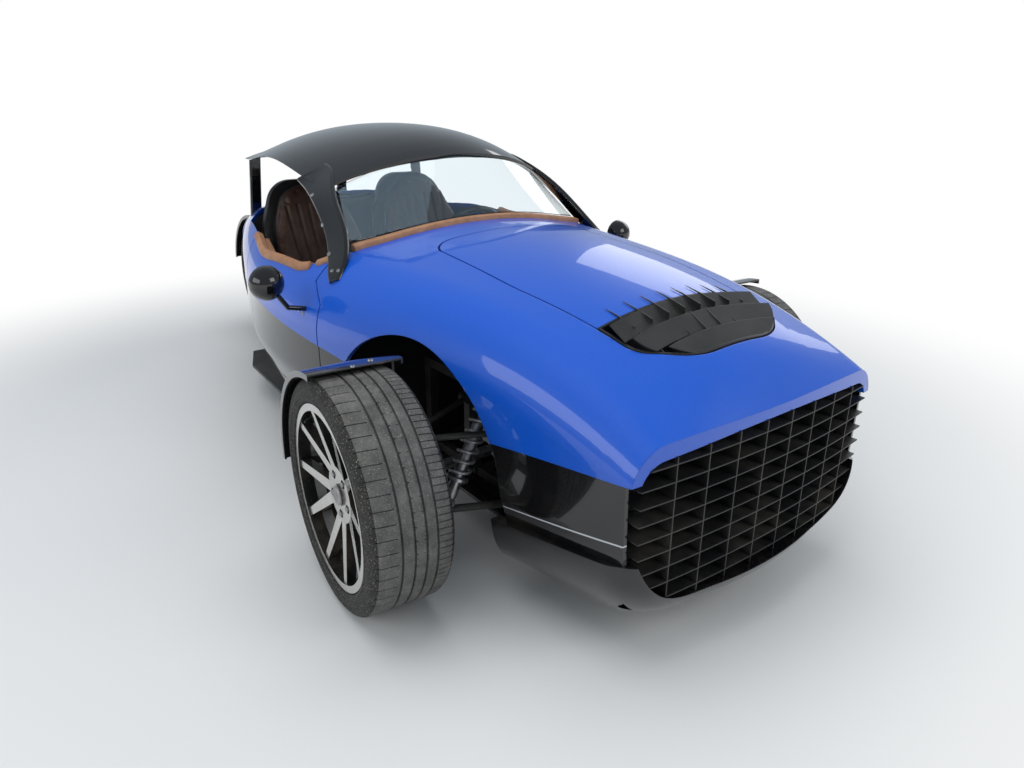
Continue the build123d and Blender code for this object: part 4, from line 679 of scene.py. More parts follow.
GLASS = clear_glass("windshield glass", (0.84, 0.93, 0.97, 1))
LAMP_GLASS = clear_glass("lamp lens", (0.95, 0.97, 1.0, 1))
RED = clear_glass("red lens", (0.65, 0.02, 0.02, 1), 0.05)
CARPET = carpet()
PALE = Finish("pale dial paint", (0.75, 0.75, 0.72, 1), 0.5).material
BULB = Finish("bulb", (0.90, 0.88, 0.80, 1), 0.15).material

SLOT_FINISH = {
    "blue_paint": BLUE, "black_gloss": GLOSS, "black_satin": SATIN, "tan_leather": TAN,
    "brown_leather": BROWN, "black_leather": HIDE_BLACK, "tyre": RUBBER, "wheel_alloy": ALLOY,
    "steel": STEEL, "cast": CAST, "engine_alloy": ENGINE_ALLOY, "bright_alloy": BRIGHT,
    "core_alloy": CORE, "glass": GLASS, "lamp_glass": LAMP_GLASS, "red_lens": RED,
}
NODE_FINISH = {"lower_sides": SIDE_GLOSS, "rear_rim": REAR_ALLOY, "front_frame": FRAME_BLACK,
               "front_crossbars": FRAME_BLACK, "rear_frame": FRAME_BLACK, "tub": CARPET}


def finish_cad_nodes():
    """Each CAD node takes the finish of its slot."""
    for row in frame["record"]["subparts"]:
        slots = CAD[row["node"]].data.materials
        look = NODE_FINISH.get(row["node"], SLOT_FINISH[row["material_slot"]])
        if not slots:
            slots.append(look)
        for index in range(len(slots)):
            slots[index] = look


# ---- wheels
PITCHES = 56
PITCH_STEPS = (1.357, 0.5, 2.714, 0.5, 1.357571)      # degrees: plain, slit, plain, slit, plain
FIRST_SLIT, SECOND_SLIT = (1.36, 1.86), (4.57, 5.08)
GROOVES = (0.30, 0.48, 0.65, 0.81)                    # across the tread from its outer side
SLIT_ENDS = (0.250, 0.525, 0.605)
SHOULDER = 0.022
TREAD_TWIST = math.radians(3.5)
RIM_FACE = 0.0705                                     # the hub pad's face from the wheel's middle
LUGS, LUG_CIRCLE = 5, 0.056
VALVE_ANGLE, VALVE_RADIUS = math.radians(54), 0.226


def tyre_outline(radius, width):
    """Across the tyre from its outer bead to its inner one: (distance along the axle, radius)."""
    half, tread = width / 2, width / 2 - SHOULDER
    side = [(half - 0.0183, BEAD_RADIUS), (half - 0.0183, 0.2535), (half - 0.006, 0.2555),
            (half - 0.002, 0.2615), (half - 0.0004, 0.2675), (half + 0.0012, 0.2685),
            (half + 0.0014, 0.2715), (half + 0.0002, 0.2730), (half - 0.0006, 0.2825),
            (half - 0.0016, radius - 0.031), (half - 0.0006, radius - 0.0300),
            (half - 0.0026, radius - 0.0225), (half - 0.0060, radius - 0.0145),
            (half - 0.0115, radius - 0.0072), (half - 0.0175, radius - 0.0030),
            (tread - 0.002, radius - 0.0008)]
    wide = 2 * tread
    gap = 0.0034 if width < 0.25 else 0.0045
    crown = [(tread - share * wide, radius) for share in SLIT_ENDS]
    for share in GROOVES:
        u, floor = tread - share * wide, radius - 0.0068
        crown += [(u + gap, radius), (u + gap * 0.7, floor), (u - gap * 0.7, floor), (u - gap, radius)]
    crown.sort(key=lambda point: -point[0])
    return side + crown + [(-u, r) for u, r in side[::-1]]


def is_slit(face, radius, width):
    """Whether a face of the first pitch is one of the cuts across a rib."""
    middle = face.calc_center_median()
    if math.hypot(middle.x, middle.z) < radius - 0.0062:
        return False
    angle = math.degrees(math.atan2(abs(middle.x), middle.z))
    first = FIRST_SLIT[0] < angle < FIRST_SLIT[1]
    second = SECOND_SLIT[0] < angle < SECOND_SLIT[1]
    tread = width / 2 - SHOULDER
    share = (tread - middle.y) / (2 * tread)
    if share < SLIT_ENDS[0]:
        return first and share > -0.14
    if GROOVES[1] < share < SLIT_ENDS[1] or SLIT_ENDS[2] < share < GROOVES[2]:
        return second
    return share > GROOVES[3] + 0.02 and (first or second)


def tyre(name, size, centre, axle, body, node):
    """One pitch of the tread spun in short steps, its slits pushed in, then repeated round the wheel."""
    radius, width = size
    about_axle = {"center": (0, 0, 0), "axis": (0, 1, 0)}
    piece = drawn(name, [(0, u, r) for u, r in tyre_outline(radius, width)])
    for step in PITCH_STEPS:
        bpy.ops.mesh.spin(steps=1, angle=math.radians(step), **about_axle)
    take_all()
    bpy.ops.mesh.normals_make_consistent(inside=False)
    mesh = bmesh.from_edit_mesh(piece.data)
    outward = 0.0
    for face in mesh.faces:
        middle = face.calc_center_median()
        if abs(middle.y) < width / 2 - 0.03 and math.hypot(middle.x, middle.z) > radius - 0.001:
            outward += face.normal.dot(Vector((middle.x, 0, middle.z)))
    if outward < 0:
        bpy.ops.mesh.flip_normals()
    pick(piece, "FACE", lambda face: is_slit(face, radius, width))
    bpy.ops.mesh.extrude_region_shrink_fatten(TRANSFORM_OT_shrink_fatten={"value": -0.0042})
    take_all()
    bpy.ops.mesh.spin(steps=PITCHES - 1, dupli=True, angle=math.tau * (PITCHES - 1) / PITCHES, **about_axle)
    take_all()
    bpy.ops.mesh.remove_doubles(threshold=0.00003)
    leave()
    with_modifier(piece, "SIMPLE_DEFORM", deform_method="TWIST", deform_axis="Y", angle=TREAD_TWIST)
    for material in (RUBBER, TREAD):
        piece.data.materials.append(material)
    for face in piece.data.polygons:
        middle = face.center
        side_limit = radius - 0.0045 - 0.010 * (abs(middle.y) < width / 2 - SHOULDER)
        face.material_index = int(math.hypot(middle.x, middle.z) > side_limit)
    turn = Vector((0, 1, 0)).rotation_difference(Vector(axle))
    apply_place(piece, centre, turn.to_euler())
    return finish(piece, RUBBER, body, "tyre", node, smooth=28)


def wheel_dressing(name, centre, outward, face, body):
    """Lug nuts, blank centre cap and tyre valve of one wheel."""
    axis = Vector(outward).normalized()
    level = axis.cross(UP).normalized()
    pieces = []
    for number in range(LUGS):
        angle = math.radians(90 + 36 + number * 72)
        spot = (Vector(centre) + (level * math.cos(angle) + UP * math.sin(angle)) * LUG_CIRCLE
                + axis * (face - 0.014))
        nut = turned("lug nut", [(0, 0.019), (0.0055, 0.019), (0.0078, 0.0165), (0.0084, 0.004),
                                 (0.0108, 0.001), (0.0112, -0.002), (0, -0.002)], 6)
        pieces.append(stand(rounded_edges(nut, 0.0008), spot, axis))
    cap = turned("centre cap", [(0, 0.0060), (0.014, 0.0056), (0.021, 0.0040), (0.0235, 0.0040),
                                (0.0262, 0.0018), (0.0272, -0.004), (0, -0.004)])
    pieces.append(stand(cap, Vector(centre) + axis * (face + 0.006), axis))
    finish(joined(name, pieces), STEEL, body, "steel", smooth=30)
    spoke = level * math.cos(VALVE_ANGLE) + UP * math.sin(VALVE_ANGLE)
    foot = Vector(centre) + spoke * VALVE_RADIUS + axis * 0.075
    fitting(f"{name}_valve", [(0, 0.036), (0.0030, 0.036), (0.0036, 0.033), (0.0036, 0.023), (0.0026, 0.022),
                              (0.0030, 0.008), (0.0062, 0.002), (0.0066, -0.003), (0, -0.003)], 16,
            foot, axis * 0.9 - spoke * 0.45, HIDE_BLACK, body, "tyre")


def wheels():
    for side, way in SIDES:
        centre = Vector((FRONT_AXLE, way * KINGPIN, FRONT_TYRE[0])) + AXLE_LINE * way * SCRUB
        outward, body = AXLE_LINE * way, f"wheel_{side}"
        tyre(f"tread_{side}", FRONT_TYRE, centre, outward, body, f"front_tyre_{side}")
        wheel_dressing(f"lug_nuts_{side}", centre, outward, RIM_FACE, body)
    tyre("tread_rear", REAR_TYRE, (REAR_AXLE, 0, REAR_TYRE[0]), (0, 1, 0), "wheel_rear", "rear_tyre")


# ---- springs, lamps and steering wheel
COILS = 8                                             # turns of a spring
EYE = [(0.0055, 0.015), (0.0085, 0.015), (0.0095, 0.012), (0.0135, 0.012), (0.0142, 0.011), (0.0142, -0.011),
       (0.0135, -0.012), (0.0095, -0.012), (0.0085, -0.015), (0.0055, -0.015), (0.0055, 0.015)]


def damper(name, foot, head, eye_axis, r, *nodes):
    """Damper tube, rod, spring seats, bushed eyes and a wound spring of radius r between two points."""
    foot, head = Vector(foot), Vector(head)
    length = (head - foot).length
    wire = r * 0.155
    seat = length * 0.19
    barrel = turned("damper barrel", [
        (0.0, 0.012), (r * 0.55, 0.012), (r * 0.62, 0.018), (r * 0.62, length * 0.16),
        (r * 1.10, length * 0.165), (r * 1.16, length * 0.17), (r * 1.16, seat), (r * 0.66, length * 0.195),
        (r * 0.66, length * 0.60), (r * 0.60, length * 0.61), (r * 0.30, length * 0.615),
        (r * 0.30, length - 0.075), (r * 0.70, length - 0.074), (r * 1.12, length - 0.060),
        (r * 1.12, length - 0.050), (r * 0.50, length - 0.046), (r * 0.42, length - 0.012),
        (0.0, length - 0.012)], 32)
    stand(barrel, foot, head - foot)
    eye = turned("eye", EYE, 28)
    upper = again(eye, "upper eye")
    pieces = [barrel, stand(eye, foot, eye_axis), stand(upper, head, eye_axis)]
    finish(joined(name, pieces), STEEL, "chassis", "steel", *nodes)
    bpy.ops.mesh.primitive_circle_add(vertices=10, radius=wire, fill_type="NOTHING",
                                      location=(r * 0.98, 0, 0), rotation=(math.pi / 2, 0, 0))
    coil = apply_place(bpy.context.object)
    rise = length - 0.065 - length * 0.19 - r * 0.31
    with_modifier(coil, "SCREW", axis="Z", angle=math.tau, screw_offset=rise / COILS, iterations=COILS,
                  steps=26, render_steps=26, use_smooth_shade=True)
    edit(coil)
    bpy.ops.mesh.remove_doubles(threshold=0.00001)
    pick(coil, "EDGE", lambda edge: len(edge.link_faces) == 1)
    bpy.ops.mesh.edge_face_add()
    take_all()
    bpy.ops.mesh.normals_make_consistent(inside=False)
    leave()
    coil.name = f"{name}_spring"
    axis = (head - foot).normalized()
    finish(stand(coil, foot + axis * (seat + wire), axis), SPRING, "chassis", "steel", smooth=60)


def springs():
    for side, way in SIDES:
        nodes = ("dampers",) if way > 0 else ()
        foot, head = on_side(DAMPER_FOOT, way), on_side(DAMPER_HEAD, way)
        damper(f"damper_{side}", foot, head, AHEAD, 0.028, *nodes)
    damper("damper_rear", *REAR_DAMPER, (0, 1, 0), 0.034, "rear_damper")


# part, steps, smoothing, material, slot, profile
HEADLAMP = (
    ("bowl", 48, 40, REFLECTOR, "lamp_glass", [
        (0, 0), (0.020, 0.001), (0.036, 0.012), (0.050, 0.032), (0.0585, 0.060), (0.0600, 0.066),
        (0.0575, 0.066), (0.047, 0.034), (0.034, 0.014), (0.018, 0.004), (0, 0.003)]),
    ("ring", 64, 40, BRIGHT, "steel", [
        (0.0560, 0.064), (0.0615, 0.064), (0.0625, 0.067), (0.0615, 0.0715), (0.0575, 0.0725),
        (0.0550, 0.070), (0.0560, 0.064)]),
    ("bulb", 24, 40, BULB, "lamp_glass", [
        (0, 0.003), (0.012, 0.003), (0.012, 0.012), (0.0075, 0.014), (0.0095, 0.024), (0.0095, 0.032),
        (0.006, 0.040), (0, 0.042)]),
    ("lens", 64, 60, LAMP_GLASS, "lamp_glass", [
        (0, 0.0840), (0.020, 0.0820), (0.038, 0.0775), (0.052, 0.0715), (0.0565, 0.0675), (0.0565, 0.0655),
        (0.051, 0.0685), (0.037, 0.0745), (0.020, 0.0790), (0, 0.0810)]),
)


def headlamps():
    """Two round lamps behind the grille: bowl, bright ring, bulb, lens and bracket."""
    for side, way in SIDES:
        for part, steps, smooth, material, slot_name, profile in HEADLAMP:
            nodes = ("headlamps",) if way > 0 and part == "bowl" else ()
            fitting(f"lamp_{part}_{side}", profile, steps, on_side((1.608, 0.322, 0.480), way), AHEAD,
                    material, "chassis", slot_name, *nodes, smooth=smooth)
        inner, outer = sorted((way * 0.301, way * 0.314))
        arm = box(f"lamp_bracket_{side}", (1.5823, inner, 0.440), (1.610, outer, 0.484))
        finish(rounded_edges(arm, 0.002), SATIN, "chassis", "black_satin")


WHEEL_CENTRE = (0.065, 0.268, 0.690)
COLUMN_TILT = math.radians(18)


def steering_wheel():
    """Thick round rim on three drilled spokes, with a boss and a blank horn button."""
    bpy.ops.mesh.primitive_torus_add(major_radius=0.178, minor_radius=0.0145,
                                     major_segments=96, minor_segments=20)
    rim = bpy.context.object
    seam = turned("rim seam", [(0.1625, 0.0010), (0.1640, 0.0018), (0.1655, 0.0010), (0.1655, -0.0010),
                               (0.1640, -0.0018), (0.1625, -0.0010), (0.1625, 0.0010)], 96)
    rim = joined("wheel_rim", [rim, seam])
    spokes = []
    for quarter in range(3):
        spoke = box("spoke", (0.034, -0.016, -0.0022), (0.170, 0.016, 0.0022))
        edit(spoke)
        pick(spoke, "FACE", lambda face: face.normal.x > 0.9)
        bpy.ops.transform.resize(value=(1, 0.72, 1), center_override=(0.170, 0, 0))
        leave()
        for index in range(4):
            cut_by(spoke, prism(24, 0.0085 - index * 0.0011, 0.02, (0.066 + index * 0.0235, 0, 0)))
        spokes.append(apply_place(rounded_edges(spoke, 0.0007), turn=(0, 0, quarter * math.pi / 2)))
    plate = joined("wheel_spokes", spokes)
    boss = turned("wheel_boss", [
        (0, -0.020), (0.044, -0.020), (0.046, -0.016), (0.046, 0.002), (0.044, 0.006), (0.036, 0.008),
        (0.034, 0.008), (0.033, 0.0065), (0.031, 0.0065), (0.030, 0.011), (0.022, 0.0165), (0, 0.0180)])
    for index in range(6):
        angle = index * math.pi / 3 + 0.3
        spot = (0.040 * math.cos(angle), 0.040 * math.sin(angle), 0.006)
        boss = joined("wheel_boss", [boss, bolt("boss screw", spot, UP, 0.0034, 0.0022)])
    upright = Vector((math.cos(COLUMN_TILT), 0, -math.sin(COLUMN_TILT)))
    across = Vector((0, 1, 0))
    column = Matrix((across, upright.cross(across), upright)).transposed()
    parked = Matrix.Rotation(math.radians(STEERING_RATIO * PARKED_DEGREES), 3, "Z")
    turn = (column @ parked @ Matrix.Rotation(math.pi, 3, "X")).to_euler()
    for piece, *look in ((rim, HIDE_BLACK, "steering_wheel", "black_leather", "steering_wheel"),
                         (plate, SPOKE, "steering_wheel", "steel"),
                         (boss, SATIN, "steering_wheel", "black_satin")):
        finish(apply_place(piece, WHEEL_CENTRE, turn), *look)


# ---- seats and padded trim
BACK_FOOT = Vector((-0.211, 0, 0.215))
BACK_TOP = Vector((-0.465, 0, 0.965))
BACK_UP = (BACK_TOP - BACK_FOOT).normalized()
BACK_AHEAD = Vector((BACK_UP.z, 0, -BACK_UP.x))
SEAT_Y = 0.252
SEAT_SPLIT = 0.360                                    # the back is above this height, the base below
CHANNELS = (-0.105, -0.063, -0.021, 0.021, 0.063, 0.105)
FAR = 1.0                                             # a distance that no seam reaches


def copied_part(name, node, keep):
    """The part of a CAD mesh that passes a test, with its loose triangles merged."""
    piece = again(CAD[node], name)
    piece.parent = None
    if piece.data.has_custom_normals:
        bpy.ops.mesh.customdata_custom_splitnormals_clear()
    piece.data.materials.clear()
    edit(piece)
    bpy.ops.mesh.remove_doubles(threshold=0.00001)
    if pick(piece, "VERT", lambda vertex: not keep(vertex.co)):
        bpy.ops.mesh.delete(type="VERT")
    leave()
    return piece


def evened(piece, voxel, repeat):
    """Remesh a piece in even faces and smooth it."""
    only(piece)
    piece.data.remesh_voxel_size = voxel
    piece.data.remesh_voxel_adaptivity = 0.0
    piece.data.use_remesh_fix_poles = True
    bpy.ops.object.voxel_remesh()
    edit(piece)
    bpy.ops.mesh.vertices_smooth(factor=0.5, repeat=repeat)
    leave()
    return piece


def plumped(piece, pressure, cap, frames=20):
    """Let air swell a sewn form, no point going further than the cap."""
    rest = [vertex.co.copy() for vertex in piece.data.vertices]
    only(piece)
    cloth = piece.modifiers.new("padding", "CLOTH")
    settings = cloth.settings
    settings.use_pressure = True
    settings.uniform_pressure_force = pressure
    settings.tension_stiffness = settings.compression_stiffness = 25
    settings.bending_stiffness = 4
    settings.quality = 4
    settings.effector_weights.gravity = 0
    cloth.collision_settings.use_collision = False
    cloth.point_cache.frame_start = 1
    cloth.point_cache.frame_end = frames
    for number in range(1, frames + 1):
        bpy.context.scene.frame_set(number)
    bpy.ops.object.modifier_apply(modifier=cloth.name)
    bpy.context.scene.frame_set(1)
    for vertex, place in zip(piece.data.vertices, rest):
        way = vertex.co - place
        if way.length > cap:
            vertex.co = place + way.normalized() * cap
    return piece


def weighted(piece, strength, share):
    """Move each point along its normal by its share of a strength."""
    only(piece)
    group = piece.vertex_groups.new(name="share")
    for vertex in piece.data.vertices:
        group.add([vertex.index], share(vertex), "REPLACE")
    displaced(piece, strength, "share")
    piece.vertex_groups.clear()


def seamed(piece, lines, depth, width):
    """Press sewn lines into a padded form. A line gives a point's distance from its seam."""
    def share(vertex):
        near = min(line(vertex.co, vertex.normal) for line in lines)
        ease = max(0.0, 1 - near / width)
        return ease * ease * (3 - 2 * ease)
    weighted(piece, -depth, share)


def back_channel(offset):
    """An upright channel of the seat's back, a little wider apart at the shoulders."""
    def away(spot, normal):
        up = (spot - BACK_FOOT).dot(BACK_UP)
        if normal.dot(BACK_AHEAD) < 0.3 or not 0.12 < up < 0.665:
            return FAR
        return abs(spot.y - SEAT_Y - offset * (1.0 + 0.12 * max(0, (up - 0.45)) / 0.2))
    return away


def back_border(spot, normal):
    on_side_face = -0.2 < normal.dot(BACK_AHEAD) < 0.86
    return abs((spot - BACK_FOOT).dot(BACK_AHEAD) - 0.088) if on_side_face else FAR


def base_channel(offset):
    def away(spot, normal):
        return abs(spot.y - SEAT_Y - offset) if normal.z >= 0.3 and -0.17 < spot.x < 0.170 else FAR
    return away


def base_cross(spot, normal):
    return abs(spot.x - 0.150) if normal.z > 0.3 and abs(spot.y - SEAT_Y) < 0.17 else FAR


def base_border(spot, normal):
    return abs(spot.z - 0.335) if abs(normal.z) < 0.8 else FAR


BACK_LINES = [back_channel(offset) for offset in CHANNELS] + [back_border]
BASE_LINES = [base_channel(offset) for offset in CHANNELS] + [base_cross, base_border]


# name, the points of the left pad it takes, its front, fill, seams, the node it stands for
SEAT_PARTS = (
    ("seat_back", lambda v: v.y > 0 and v.z > SEAT_SPLIT, BACK_AHEAD, 0.8, BACK_LINES, ("seat_pads",)),
    ("seat_base", lambda v: v.y > 0 and v.z <= SEAT_SPLIT, UP, 0.85, BASE_LINES, ()),
)


def seats():
    """Back and base of each seat: dark brown channels between padded black bolsters."""
    pads = [copied_part(f"{name}_left", "seat_pads", keep) for name, keep, *_ in SEAT_PARTS]
    for pad, (name, _, front, fill, lines, nodes) in zip(pads, SEAT_PARTS):
        def bolster(vertex):
            proud = (abs(vertex.co.y - SEAT_Y) - 0.120) / 0.045
            return min(1.0, max(0.0, proud)) * max(0.0, vertex.normal.dot(front))
        evened(pad, 0.0065, 4)
        plumped(displaced(pad, -0.006), 4.0, 0.010)
        weighted(pad, 0.009, bolster)
        seamed(refined(pad), lines, 0.0075, 0.011)
        for piece, stands_for in ((pad, nodes), (mirrored(pad, f"{name}_right"), ())):
            piece.data.materials.clear()
            for material in (BROWN, HIDE_BLACK):
                piece.data.materials.append(material)
            for face in piece.data.polygons:
                face.material_index = 0 if face.normal.dot(front) > 0.55 else 1
            finish(piece, BROWN, "chassis", "brown_leather", *stands_for, smooth=180)


def rolled_pair(piece, body, *nodes):
    """A tan roll and its twin, finished."""
    twin = mirrored(piece, piece.name.replace("left", "right"))
    for each, side in ((piece, "left"), (twin, "right")):
        stands_for = [node.replace("left", side) for node in nodes]
        finish(each, TAN, body.replace("left", side), "tan_leather", *stands_for, smooth=180)


def padded_trim():
    """Tan rolls along the cowl and the tops of the doors."""
    cowl = evened(copied_part("cowl_roll", "cowl_trim", lambda v: True), 0.004, 3)
    refined(plumped(cowl, 3.0, 0.004))
    finish(cowl, TAN, "chassis", "tan_leather", "cowl_trim", smooth=180)
    roll = evened(copied_part("door_roll_left", "door_trim_left", lambda v: True), 0.004, 3)
    rolled_pair(refined(plumped(roll, 3.0, 0.004)), "door_left", "door_trim_left")


# (x, y, z) along the left door's top edge and from there up to the pillar's foot
DOOR_EDGE = (
    (-0.128, 0.5630, 0.8070), (-0.070, 0.5775, 0.7988), (-0.010, 0.5925, 0.7873), (0.050, 0.6060, 0.7750),
    (0.110, 0.6076, 0.7735), (0.170, 0.6047, 0.7765), (0.230, 0.6018, 0.7770), (0.290, 0.5988, 0.7757),
    (0.350, 0.5950, 0.7735), (0.392, 0.5840, 0.7800), (0.406, 0.5780, 0.7840))
COWL_EDGE = ((0.430, 0.5680, 0.7900), (0.455, 0.5490, 0.8020), (0.482, 0.5270, 0.8150))
ROLL_RADIUS = 0.0185


def edge_y(x):
    """How far out the door's top edge lies at a station."""
    for (x0, y0, _), (x1, y1, _) in zip(DOOR_EDGE, DOOR_EDGE[1:]):
        if x0 <= x <= x1:
            return y0 + (y1 - y0) * (x - x0) / (x1 - x0)
    return DOOR_EDGE[0][1] if x < DOOR_EDGE[0][0] else DOOR_EDGE[-1][1]


def roll_along(name, path, radius, drop):
    """A padded round roll laid along an edge, evened out and swelled."""
    line = bpy.data.curves.new(name, "CURVE")
    line.dimensions = "3D"
    spline = line.splines.new("POLY")
    spline.points.add(len(path) - 1)
    for point, (x, y, z) in zip(spline.points, path):
        point.co = (x, y, z - drop, 1)
    line.bevel_depth = radius
    line.bevel_resolution = 4
    line.use_fill_caps = True
    roll = bpy.data.objects.new(name, line)
    bpy.context.scene.collection.objects.link(roll)
    only(roll)
    bpy.ops.object.convert(target="MESH")
    return plumped(evened(bpy.context.object, 0.004, 10), 3.0, 0.003)


def edge_rolls():
    """Tan rolls over the doors' top edges, with a sewn line, and up to the pillars' feet."""
    def seam(spot, normal):
        return abs(edge_y(spot.x) - spot.y - 0.0085) if normal.z > 0.2 else FAR
    roll = roll_along("edge_roll_left", DOOR_EDGE, ROLL_RADIUS, 0.005)
    seamed(roll, [seam], 0.0028, 0.006)
    riser = roll_along("trim_riser_left", COWL_EDGE, ROLL_RADIUS * 0.85, 0.003)
    rolled_pair(refined(roll), "door_left")
    rolled_pair(riser, "chassis")


# ---- mirrors, tail lamps and bolts
def mirrors():
    """Mirror glass in a ring on each mirror head's rear face."""
    for side, way in SIDES:
        place = on_side((0.458, 0.752, 0.758), way)
        fitting(f"mirror_glass_{side}", [
            (0, 0.0030), (0.030, 0.0026), (0.0475, 0.0012), (0.0485, -0.001), (0, -0.001)], 64,
            place, BACKWARD, MIRROR, f"door_{side}", "steel", smooth=60)
        fitting(f"mirror_ring_{side}", [
            (0.0480, -0.001), (0.0480, 0.0020), (0.0505, 0.0035), (0.0535, 0.0020), (0.0545, -0.001),
            (0.0480, -0.001)], 64, place, BACKWARD, MOULDED, f"door_{side}", "black_satin", smooth=60)


def tail_lamps():
    """Ribbed round lens in a ring on each side of the tail."""
    ribs = []
    for ring in range(1, 8):
        r = ring * 0.0048
        ribs += [(r - 0.0012, 0.0230 - 0.02 * r), (r, 0.0218 - 0.02 * r)]
    lens = [(0, 0.0230), *ribs, (0.0365, 0.0195), (0.0378, 0.016), (0.0380, 0.001), (0, 0.001)]
    for side, way in SIDES:
        place = on_side((-1.1523, 0.150, 0.610), way)
        nodes = ("tail_lamps",) if way > 0 else ()
        fitting(f"tail_lens_{side}", lens, 56, place, BACKWARD, RED, "chassis", "red_lens", *nodes, smooth=50)
        fitting(f"tail_ring_{side}", [(0.0382, -0.002), (0.0382, 0.008), (0.0400, 0.010), (0.0430, 0.008),
                                      (0.0440, -0.002), (0.0382, -0.002)], 56, place, BACKWARD,
                MOULDED, "chassis", "black_satin", smooth=50)


def touch(node, place, way, reach):
    """Where a line from a point meets a CAD node: (point, normal)."""
    piece = CAD[node]
    turn = piece.matrix_world.inverted()
    along = (turn.to_3x3() @ Vector(way)).normalized()
    found, spot, normal, _ = piece.ray_cast(turn @ Vector(place), along, distance=reach)
    if not found:
        return None
    return piece.matrix_world @ spot, (piece.matrix_world.to_3x3() @ normal).normalized()


# node, body, place and outward way on the left side, radius
SCREWS = (
    ("roof", "chassis", (0.266, 0.497, 0.985), (0.20, 0.66, 0.72), 0.0072),
    ("roof", "chassis", (0.385, 0.522, 0.903), (0.15, 0.72, 0.68), 0.0072),
    ("roof", "chassis", (0.483, 0.549, 0.827), (0.15, 0.76, 0.64), 0.0072),
    ("roof", "chassis", (0.548, 0.572, 0.788), (0.19, 0.69, 0.70), 0.0062),
    ("roof", "chassis", (0.566, 0.558, 0.786), (0.60, 0.45, 0.65), 0.0062),
    ("side_skirts", "chassis", (-0.300, 0.540, 0.300), UP, 0.0065),
    ("side_skirts", "chassis", (0.000, 0.560, 0.300), UP, 0.0065),
    ("side_skirts", "chassis", (0.280, 0.570, 0.300), UP, 0.0065),
    ("fender_left", "knuckle_left", (1.040, 0.700, 0.760), UP, 0.0080),
    ("fender_left", "knuckle_left", (1.110, 0.700, 0.760), UP, 0.0080),
    ("fender_left", "knuckle_left", (1.060, 0.760, 0.760), UP, 0.0065),
    ("door_skin_left", "door_left", (0.480, 0.720, 0.672), (0.10, 0.94, 0.32), 0.0055),
    ("door_skin_left", "door_left", (0.452, 0.720, 0.674), (0.10, 0.94, 0.32), 0.0055),
)


def screws():
    """Button-head screws where panels are fixed, set on the surface they hold."""
    for side, way in SIDES:
        sets = {}
        for node, body, place, outward, radius in SCREWS:
            outward = Vector(on_side(outward, way)).normalized()
            spot = Vector(on_side(place, way)) + outward * 0.06
            met = touch(node.replace("left", side), spot, -outward, 0.25)
            if met:
                head = bolt("screw", *met, radius, radius * 0.62)
                sets.setdefault(body.replace("left", side), []).append(head)
        for body, heads in sets.items():
            finish(joined(f"screws_{body}_{side}", heads), STEEL, body, "steel", smooth=35)


def frame_bolts():
    """Hexagon heads at the wishbones' bushes and the dampers' eyes."""
    heads = []
    for _, way in SIDES:
        for z in (0.205, 0.430):
            for end in (-1, 1):
                place = (FRONT_AXLE + end * 0.150 + end * 0.0205, way * 0.339, z)
                heads.append(hexagon(place, (end, 0, 0), 0.0090))
        for x, y, z in (DAMPER_FOOT, DAMPER_HEAD):
            heads.append(hexagon((x + 0.0155, way * y, z), AHEAD, 0.0085))
    finish(joined("frame_bolts", heads), STEEL, "chassis", "steel", smooth=30)


GAUGE_RADIUS = 0.046
TICKS, LONG_TICK_EVERY, DIAL_SWEEP = 25, 4, 270


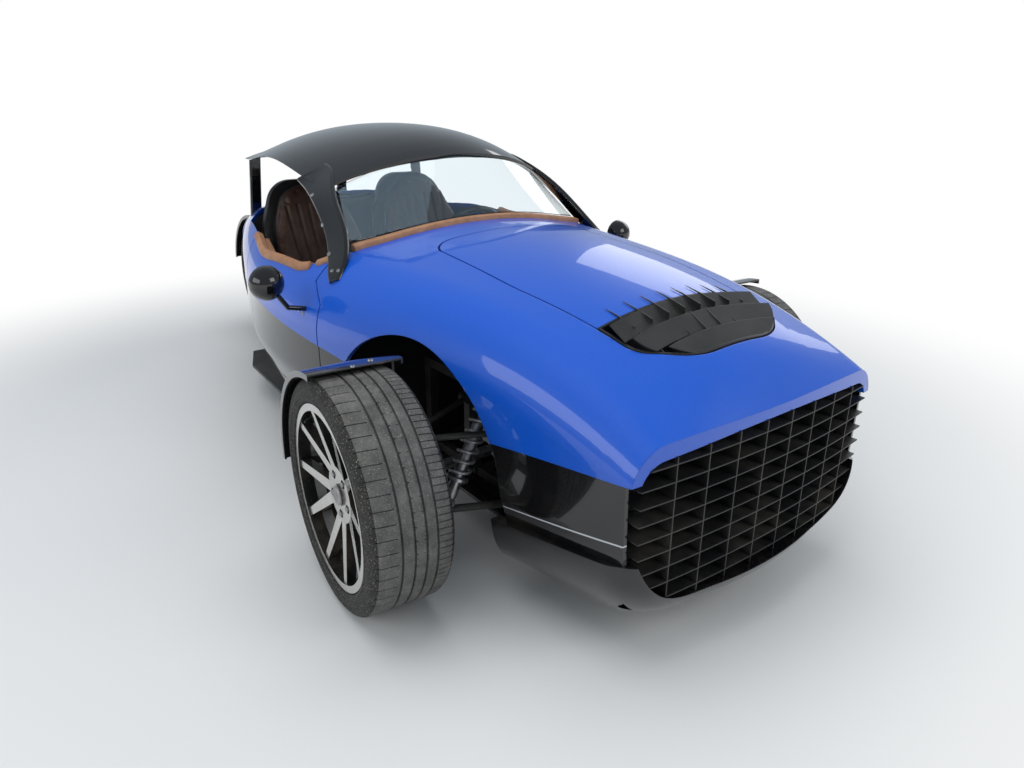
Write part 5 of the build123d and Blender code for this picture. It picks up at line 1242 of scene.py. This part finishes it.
def gauges():
    """Two round instruments with blank dials and needles behind the wheel."""
    r = GAUGE_RADIUS
    for number, y in enumerate((0.215, 0.322)):
        met = touch("dashboard", (0.20, y, 0.770), AHEAD, 0.4)
        if not met:
            continue
        place, out = met[0], (-0.96, 0, 0.28)
        fitting(f"gauge_{number}", [(r, -0.020), (r, 0.010), (r * 0.97, 0.013), (r * 0.90, 0.013),
                                    (r * 0.87, 0.006), (r * 0.87, 0.004), (0, 0.004)], 56, place, out,
                MOULDED, "chassis", "black_satin", smooth=50)
        marks = []
        for tick in range(TICKS):
            long = tick % LONG_TICK_EVERY == 0
            half = 0.0006 + 0.0004 * long
            mark = box("tick", (-half, r * (0.70 if long else 0.76), 0.0044), (half, r * 0.84, 0.0050))
            angle = math.radians(-DIAL_SWEEP / 2 + tick * DIAL_SWEEP / (TICKS - 1))
            marks.append(apply_place(mark, turn=(0, 0, angle)))
        needle = box("needle", (-0.0011, -0.010, 0.0060), (0.0011, r * 0.66, 0.0072))
        marks.append(apply_place(needle, turn=(0, 0, math.radians(128))))
        marks.append(turned("needle hub", [(0, 0.0088), (0.0040, 0.0085), (0.0050, 0.0070), (0.0050, 0.0045),
                                           (0, 0.0045)], 24))
        dial = stand(joined(f"gauge_marks_{number}", marks), place, out)
        finish(dial, PALE, "chassis", "steel", smooth=30)


def pedals():
    """Three hanging pedals with ribbed pads, in front of the firewall."""
    lean = (0, math.radians(-24), 0)
    for number, (y, wide) in enumerate(((0.150, 0.042), (0.232, 0.060), (0.318, 0.050))):
        place, half = (0.558, y, 0.300), wide / 2
        top, foot = Vector((0.600, y, 0.520)), Vector((0.565, y, 0.315))
        arm = stand(prism(16, 0.007, (foot - top).length), (top + foot) / 2, foot - top)
        pad = rounded_edges(box("pad", (-0.005, -half, -0.032), (0.005, half, 0.032)), 0.003)
        pieces = [arm, apply_place(pad, place, lean)]
        finish(joined(f"pedal_{number}", pieces), SATIN, "chassis", "black_satin", smooth=35)
        ribs = []
        for row in range(5):
            low, high = -0.0235 + row * 0.0105, -0.0195 + row * 0.0105
            rib = box("rib", (-0.0085, -half + 0.004, low), (-0.0045, half - 0.004, high))
            ribs.append(apply_place(rib, place, lean))
        finish(joined(f"pedal_rubber_{number}", ribs), HIDE_BLACK, "chassis", "tyre", smooth=35)


camera()
studio()
finish_cad_nodes()
wheels()
springs()
headlamps()
steering_wheel()
seats()
padded_trim()
mirrors()
tail_lamps()
screws()
frame_bolts()
gauges()
pedals()
edge_rolls()
